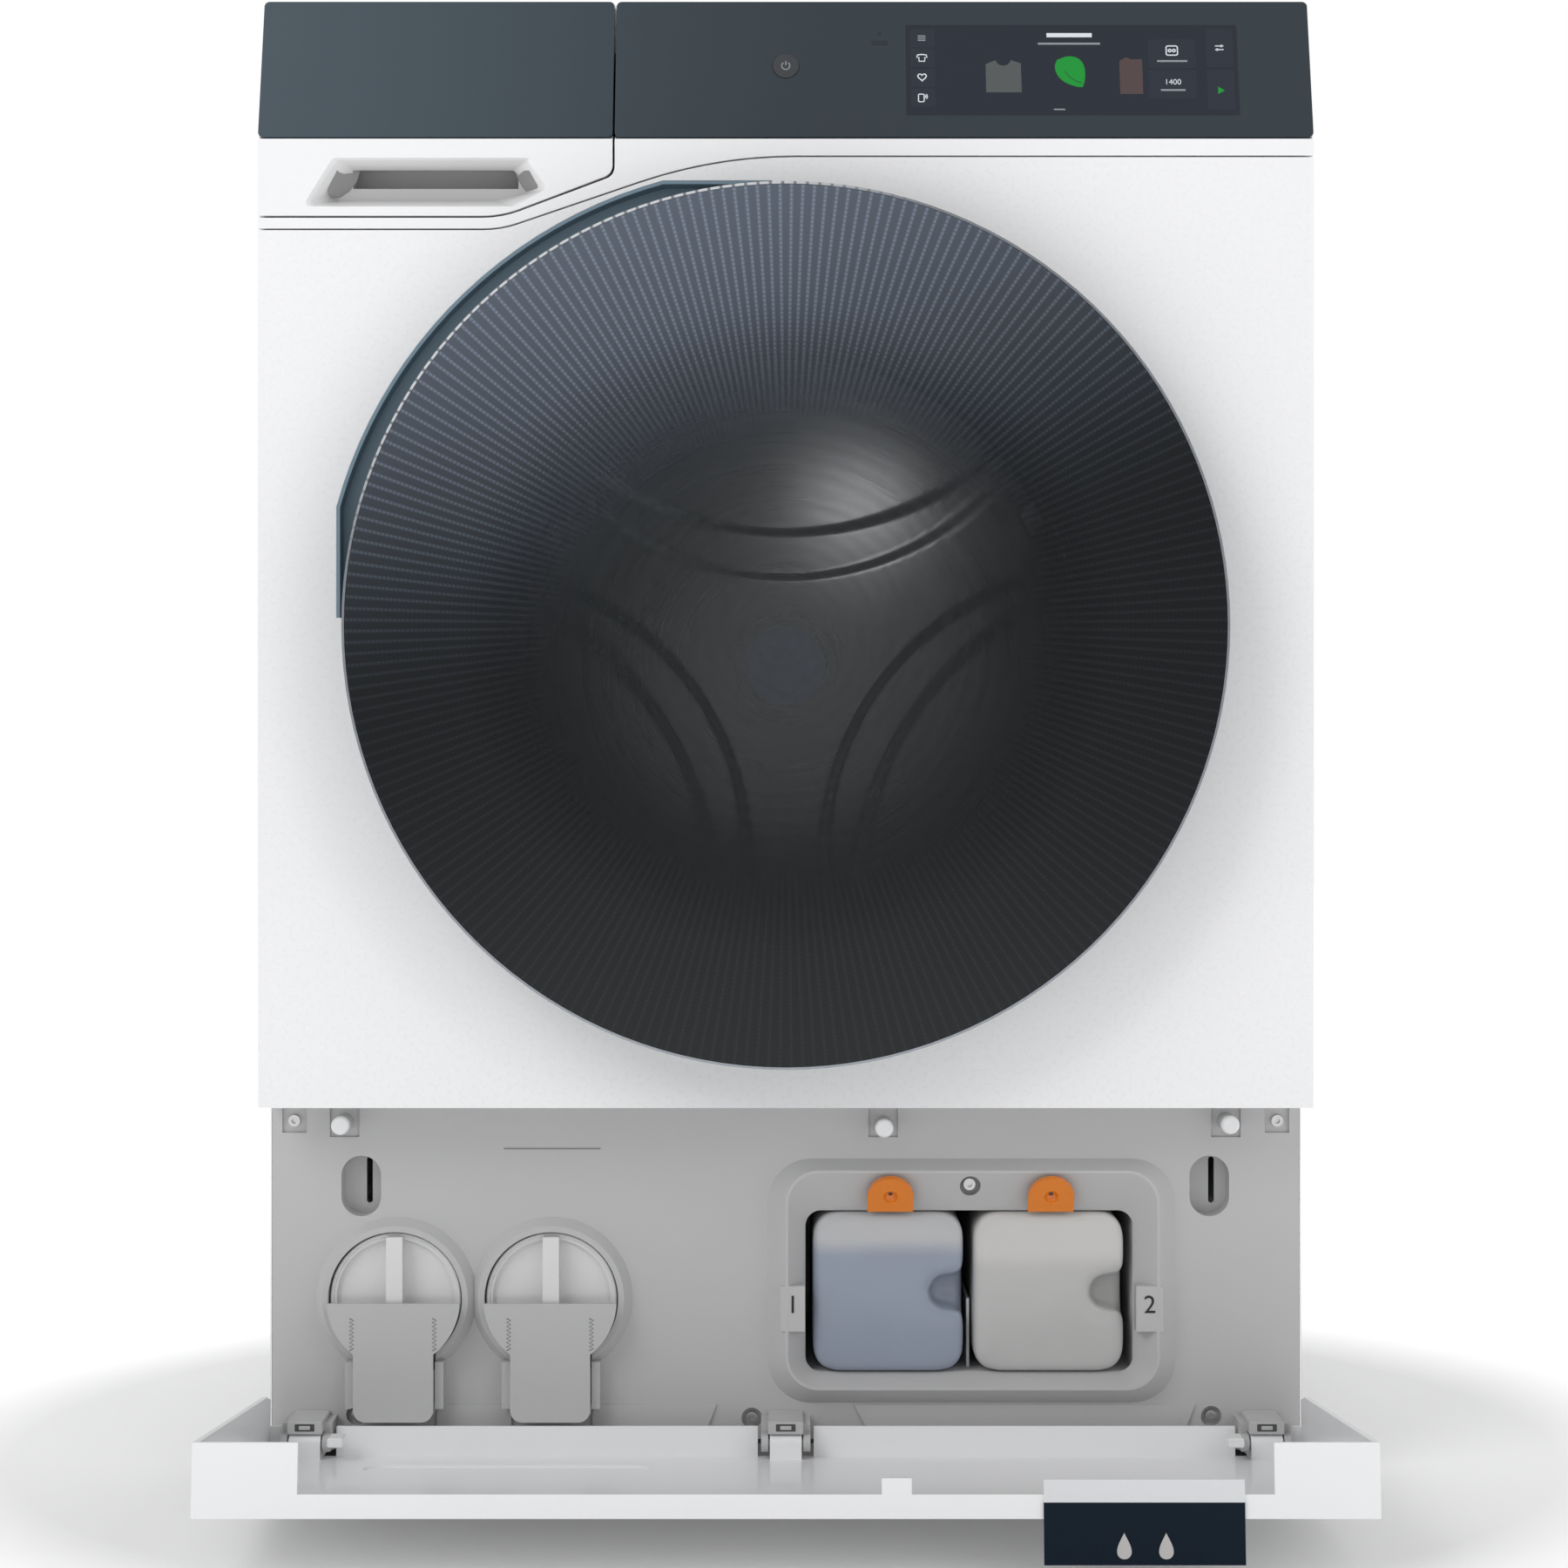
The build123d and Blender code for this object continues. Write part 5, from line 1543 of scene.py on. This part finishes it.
    def _band_marks(self) -> None:
        """Faint presence mark left of the screen and the power symbol on the button."""
        head = arc(53.6, 830.4, 1.0, 0, 340, 12)
        form = Form().plate([(x, climb_of(z)) for x, z in head], -0.05, 0.3, on_band)
        shoulders = round_box(48.8, 58.4, 823.2, 826.2, 1.4)
        form.plate([(x, climb_of(z)) for x, z in shoulders], -0.05, 0.3, on_band)
        form.piece("presence_mark", "cabinet", TILE, "band_glass")
        climb = climb_of(810.5)
        power = Form().stroke(arc(0, climb, 2.3, 125, 415, 24), 0.6, -0.62, -0.3, on_band)
        power.stroke([(0, climb + 0.4), (0, climb + 3.0)], 0.6, -0.62, -0.3, on_band)
        power.piece("power_symbol", "power_button", DIM_MARK, "button_plastic")


# ---- drawer ----------------------------------------------------------------------------------------


@dataclass
class DrawerHandle:
    """Dark grey patches of painted shade on the sloping ends of the drawer's handle hollow."""

    lift: float = 0.15
    sink: float = 0.5
    left_edge: tuple[Point2, Point2] = ((-255.7, 756.1), (-272.9, 728.5))
    right_edge: tuple[Point2, Point2] = ((-144.5, 756.1), (-132.7, 739.4))
    slope_depth: float = 12.0
    left_outline: tuple[Point2, ...] = (
        (-251.6, 754.9), (-242.6, 754.9), (-242.2, 751.0), (-244.0, 745.0), (-248.0, 739.6),
        (-253.2, 736.2), (-257.6, 736.2), (-259.4, 738.2), (-258.2, 741.6), (-255.0, 748.0),
    )
    right_outline: tuple[Point2, ...] = (
        (-154.2, 754.9), (-148.6, 754.9), (-144.4, 748.4), (-141.0, 741.6), (-140.2, 738.4),
        (-141.6, 737.0), (-145.4, 737.2), (-149.6, 741.6), (-153.2, 748.4),
    )

    def build(self) -> None:
        """Builds both painted shade patches, which lie on the sloping ends of the hollow."""
        for side in Side:
            left = side is Side.LEFT
            edge = self.left_edge if left else self.right_edge
            outline = self.left_outline if left else self.right_outline
            form = Form().plate(outline, -self.lift, self.sink, self._placer(edge, side.value))
            form.piece(f"handle_cheek_{side.name.lower()}", "drawer", PAINTED_SHADE_GREY, "grey_plastic")

    def _placer(self, edge: tuple[Point2, Point2], side: int) -> Placer:
        """Makes the placer that follows the slope of one end of the hollow.

        Args:
            edge: Upper and lower corner of the hollow's mouth at that end.
            side: -1 for the left end, 1 for the right end.

        Returns:
            The placer.
        """
        (x0, z0), (x1, z1) = edge
        length = math.hypot(x1 - x0, z1 - z0)

        def place(u: float, v: float, depth: float) -> Point3:
            """Places a point at its distance from the mouth's edge."""
            inward = side * ((u - x0) * (z1 - z0) - (v - z0) * (x1 - x0)) / length
            return (u, FRONT + max(0.0, min(self.slope_depth, inward)) + depth, v)

        return place


# ---- plinth --------------------------------------------------------------------------------------


@dataclass
class Bottle:
    """One soft-edged dosing bottle with a finger scoop at its right side."""

    number: int
    middle_x: float
    finish: Finish
    slot: str
    middle_z: float = 109.0
    half_width: float = 43.6
    half_height: float = 46.1
    corner: float = 13.0
    notch: float = 9.7
    notch_depth: float = 19.8
    lip: float = 5.0
    near: float = -263.9
    notch_floor: float = -248.5
    far: float = -89.5

    def outline(self) -> list[Point2]:
        """Outline of the bottle with its notch, as X and Z."""
        w, h, r = self.half_width, self.half_height, self.corner
        bend = self.half_width - self.notch_depth + self.notch
        lip_z = self.notch + self.lip
        local = arc(w - r, r - h, r, -90, 0, 8)
        local += arc(w - self.lip, -lip_z, self.lip, 0, 90, 6)
        local += arc(bend, 0, self.notch, -90, -270, 14)
        local += arc(w - self.lip, lip_z, self.lip, -90, 0, 6)
        local += arc(w - r, h - r, r, 0, 90, 8) + arc(r - w, h - r, r, 90, 180, 8)
        local += arc(r - w, r - h, r, 180, 270, 8)
        return [(self.middle_x + x, self.middle_z + z) for x, z in local]

    def build(self) -> None:
        """Builds the bottle as a softened solid."""
        form = Form().plate(self.outline(), self.near, self.far)
        x, z, w, h = self.middle_x, self.middle_z, self.half_width, self.half_height
        form.plate(round_box(x - w, x + w, z - h, z + h, self.corner), self.notch_floor, self.far)
        name = f"dosing_bottle_{self.number}"
        thing = form.piece(name, f"bottle_{self.number}", self.finish, self.slot)
        bake(
            thing,
            ("REMESH", {"mode": "VOXEL", "voxel_size": 0.0017, "use_smooth_shade": True}),
            ("SMOOTH", {"factor": 0.7, "iterations": 34}),
        )
        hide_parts(f"bottle_{self.number}")


@dataclass
class Plinth:
    """Marks and small parts behind the flap."""

    chute_xs: tuple[float, ...] = (-225.0, -135.0)
    chute_face: float = -277.0
    zigzag_offset: float = 23.7
    zigzag_low: float = 78.0
    zigzag_high: float = 96.5
    teeth: int = 8
    cap_z: float = 106.0
    cap_rim: float = 36.6
    cap_face: float = -265.0
    numerals: tuple[tuple[str, float], ...] = (("1", 4.0), ("2", 209.2))
    numeral_size: float = 10.4
    numeral_z: float = 103.0
    tooth_reach: float = 1.2
    pins: tuple[Point2, ...] = ((-255.0, 207.0), (56.4, 205.5), (254.5, 207.5))

    def build(self) -> None:
        """Builds the grip teeth, cap rims, bottles, numerals, catch pads and the panel's rib."""
        for number, x in enumerate(self.chute_xs, 1):
            self._teeth(number, x)
            self._cap(number, x)
        Bottle(1, 59.2, BLUE_TANK, "bottle_blue").build()
        Bottle(2, 151.9, MILKY_TANK, "bottle_milky").build()
        for text, x in self.numerals:
            form = letters(text, self.numeral_size, x, self.numeral_z, -272.1, -271.6)
            form.piece(f"bay_numeral_{text}", "cabinet", NUMERAL, "grey_plastic")
        for number, (x, z) in enumerate(self.pins, 1):
            face = [(0.05, -279.2), (4.3, -279.2), (5.2, -278.3), (5.2, -274.0), (0.05, -274.0)]
            Form().revolve(face, x, z, 48).piece(f"catch_pad_{number}", "cabinet", WHITE, "white_plastic")
        # The rib is raised 0.3 mm; its dark grey is painted shade.
        line = Form().stroke([(-163.0, 191.8), (-107.0, 191.8)], 0.8, -262.3, -261.6)
        line.piece("panel_rib", "cabinet", PAINTED_SHADE_GREY, "grey_plastic")

    def _teeth(self, number: int, x: float) -> None:
        """Zigzag grip cuts down both sides of a chute, drawn as dark strokes of painted shadow.

        Args:
            number: Number of the chute.
            x: Middle of the chute.
        """
        form = Form()
        step = (self.zigzag_high - self.zigzag_low) / (2 * self.teeth)
        for side in Side:
            edge = x + side.value * self.zigzag_offset
            chain = [
                (edge + (self.tooth_reach if i % 2 else -self.tooth_reach), self.zigzag_low + i * step)
                for i in range(2 * self.teeth + 1)
            ]
            form.stroke(chain, 0.55, self.chute_face - 0.06, self.chute_face + 0.4)
        form.piece(f"chute_teeth_{number}", f"chute_{number}", SHADOW_MARK, "grey_plastic")

    def _cap(self, number: int, x: float) -> None:
        """Rounded bright rim of a filter cap.

        Args:
            number: Number of the cap.
            x: Middle of the cap.
        """
        section = arc(self.cap_rim, self.cap_face, 1.1, 0, 330, 11)
        rim = Form().revolve(section, x, self.cap_z, 96)
        rim.piece(f"cap_rim_{number}", f"drain_filter_{number}", LIGHT, "light_plastic")


@dataclass
class Flap:
    """Clips and bosses of the flap's hinges, and the print on its card."""

    hinges: tuple[tuple[str, float], ...] = (("left", -273.0), ("middle", 0.0), ("right", 273.0))
    clip_half: float = 10.0
    clip_low: float = 33.5
    clip_high: float = 40.7
    clip_front: float = -292.0
    clip_back: float = -262.2
    boss_inner: float = 249.6
    boss_outer: float = 258.4
    drop_z: float = 22.0
    drop_xs: tuple[float, float] = (169.0, 190.0)
    drop_radius: float = 5.2
    card_lean: float = 4.1 / 41.8

    def build(self) -> None:
        """Builds the clips, the bosses and the two printed drops."""
        for name, x in self.hinges:
            self._clip(name, x)
        for side in Side:
            self._boss(side)
        self._drops()

    def _drops(self) -> None:
        """Two drops printed on the card, which leans back a little."""
        low, _ = (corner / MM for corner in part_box("flap_tag"))

        def on_card(u: float, v: float, depth: float) -> Point3:
            """Places a point of the card's leaning face."""
            return (u, low.y + (v - low.z) * self.card_lean + depth, v)

        form = Form()
        turns = [math.tau * i / 32 for i in range(1, 32)]
        for x in self.drop_xs:
            form.plate([
                (x + self.drop_radius * math.sin(t) * math.sin(t / 2) ** 1.5,
                 self.drop_z + self.drop_radius * math.cos(t) * 1.25)
                for t in turns
            ], -0.12, 0.3, on_card)
        form.piece("card_drops", "flap", DROP, "tag_card")

    def _clip(self, name: str, x: float) -> None:
        """Grey clip over a hinge, with a dark plate of painted shadow for the slot in its face.

        Args:
            name: Which hinge.
            x: Middle of the hinge.
        """
        front, seat = self.clip_front, self.clip_front + 0.4
        block = round_box(x - self.clip_half, x + self.clip_half, self.clip_low, self.clip_high, 0.8)
        slot = round_box(x - 5.6, x + 5.6, 35.2, 39.4, 0.5)
        tongue = round_box(x - 3.2, x + 3.2, 36.2, 38.4, 0.4)
        for part, outline, near, far, finish, bevel in (
            ("", block, front, self.clip_back, GREY, 0.4),
            ("_slot", slot, front - 0.05, seat, SHADOW_MARK, 0.0),
            ("_tongue", tongue, front - 0.5, seat, GREY, 0.2),
        ):
            form = Form().plate(outline, near, far)
            form.piece(f"flap_clip{part}_{name}", "cabinet", finish, "grey_plastic", bevel=bevel)

    def _boss(self, side: Side) -> None:
        """White stop beside a hinge.

        Args:
            side: Which hinge.
        """
        x0, x1 = sorted((side.value * self.boss_inner, side.value * self.boss_outer))
        form = Form().plate(round_box(x0, x1, 28.8, 34.0, 1.2), -304.0, -291.0)
        form.piece(f"flap_boss_{side.name.lower()}", "flap", WHITE, "white_plastic", bevel=0.6)


# ---- rear ---------------------------------------------------------------------------------------


@dataclass
class Rear:
    """Screws along the rear panel's edges."""

    face: float = 300.0
    column: float = 284.0
    low: float = 90.0
    high: float = 800.0
    per_side: int = 6
    head: float = 4.5

    def build(self) -> None:
        """Builds the row of screws on each side."""
        form = Form()
        for side in Side:
            for i in range(self.per_side):
                z = self.low + (self.high - self.low) * i / (self.per_side - 1)
                profile = [
                    (0.1, self.face + 1.2), (1.2, self.face + 1.2), (1.6, self.face + 2.2),
                    (self.head - 1.2, self.face + 2.1), (self.head, self.face + 0.9),
                    (self.head, self.face - 0.3), (0.1, self.face - 0.3),
                ]
                form.revolve(profile, side.value * self.column, z, 20)
        form.piece("rear_screws", "cabinet", STEEL, "steel_parts")


# ---- assembly ---------------------------------------------------------------------------------


def main() -> None:
    """Builds the washing machine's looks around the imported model."""
    logging.basicConfig(level=logging.INFO, format="%(message)s")
    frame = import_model()
    Studio().build()
    dress_nodes(frame["nodes"], frame["record"])
    LOG.info("dressed %d nodes", len(frame["nodes"]))
    for unit in (Drum(), TubLinks(), Door(), Display(), DrawerHandle(), Plinth(), Flap(), Rear()):
        unit.build()
        LOG.info("built %s", type(unit).__name__.lower())


if __name__ == "__main__":
    main()
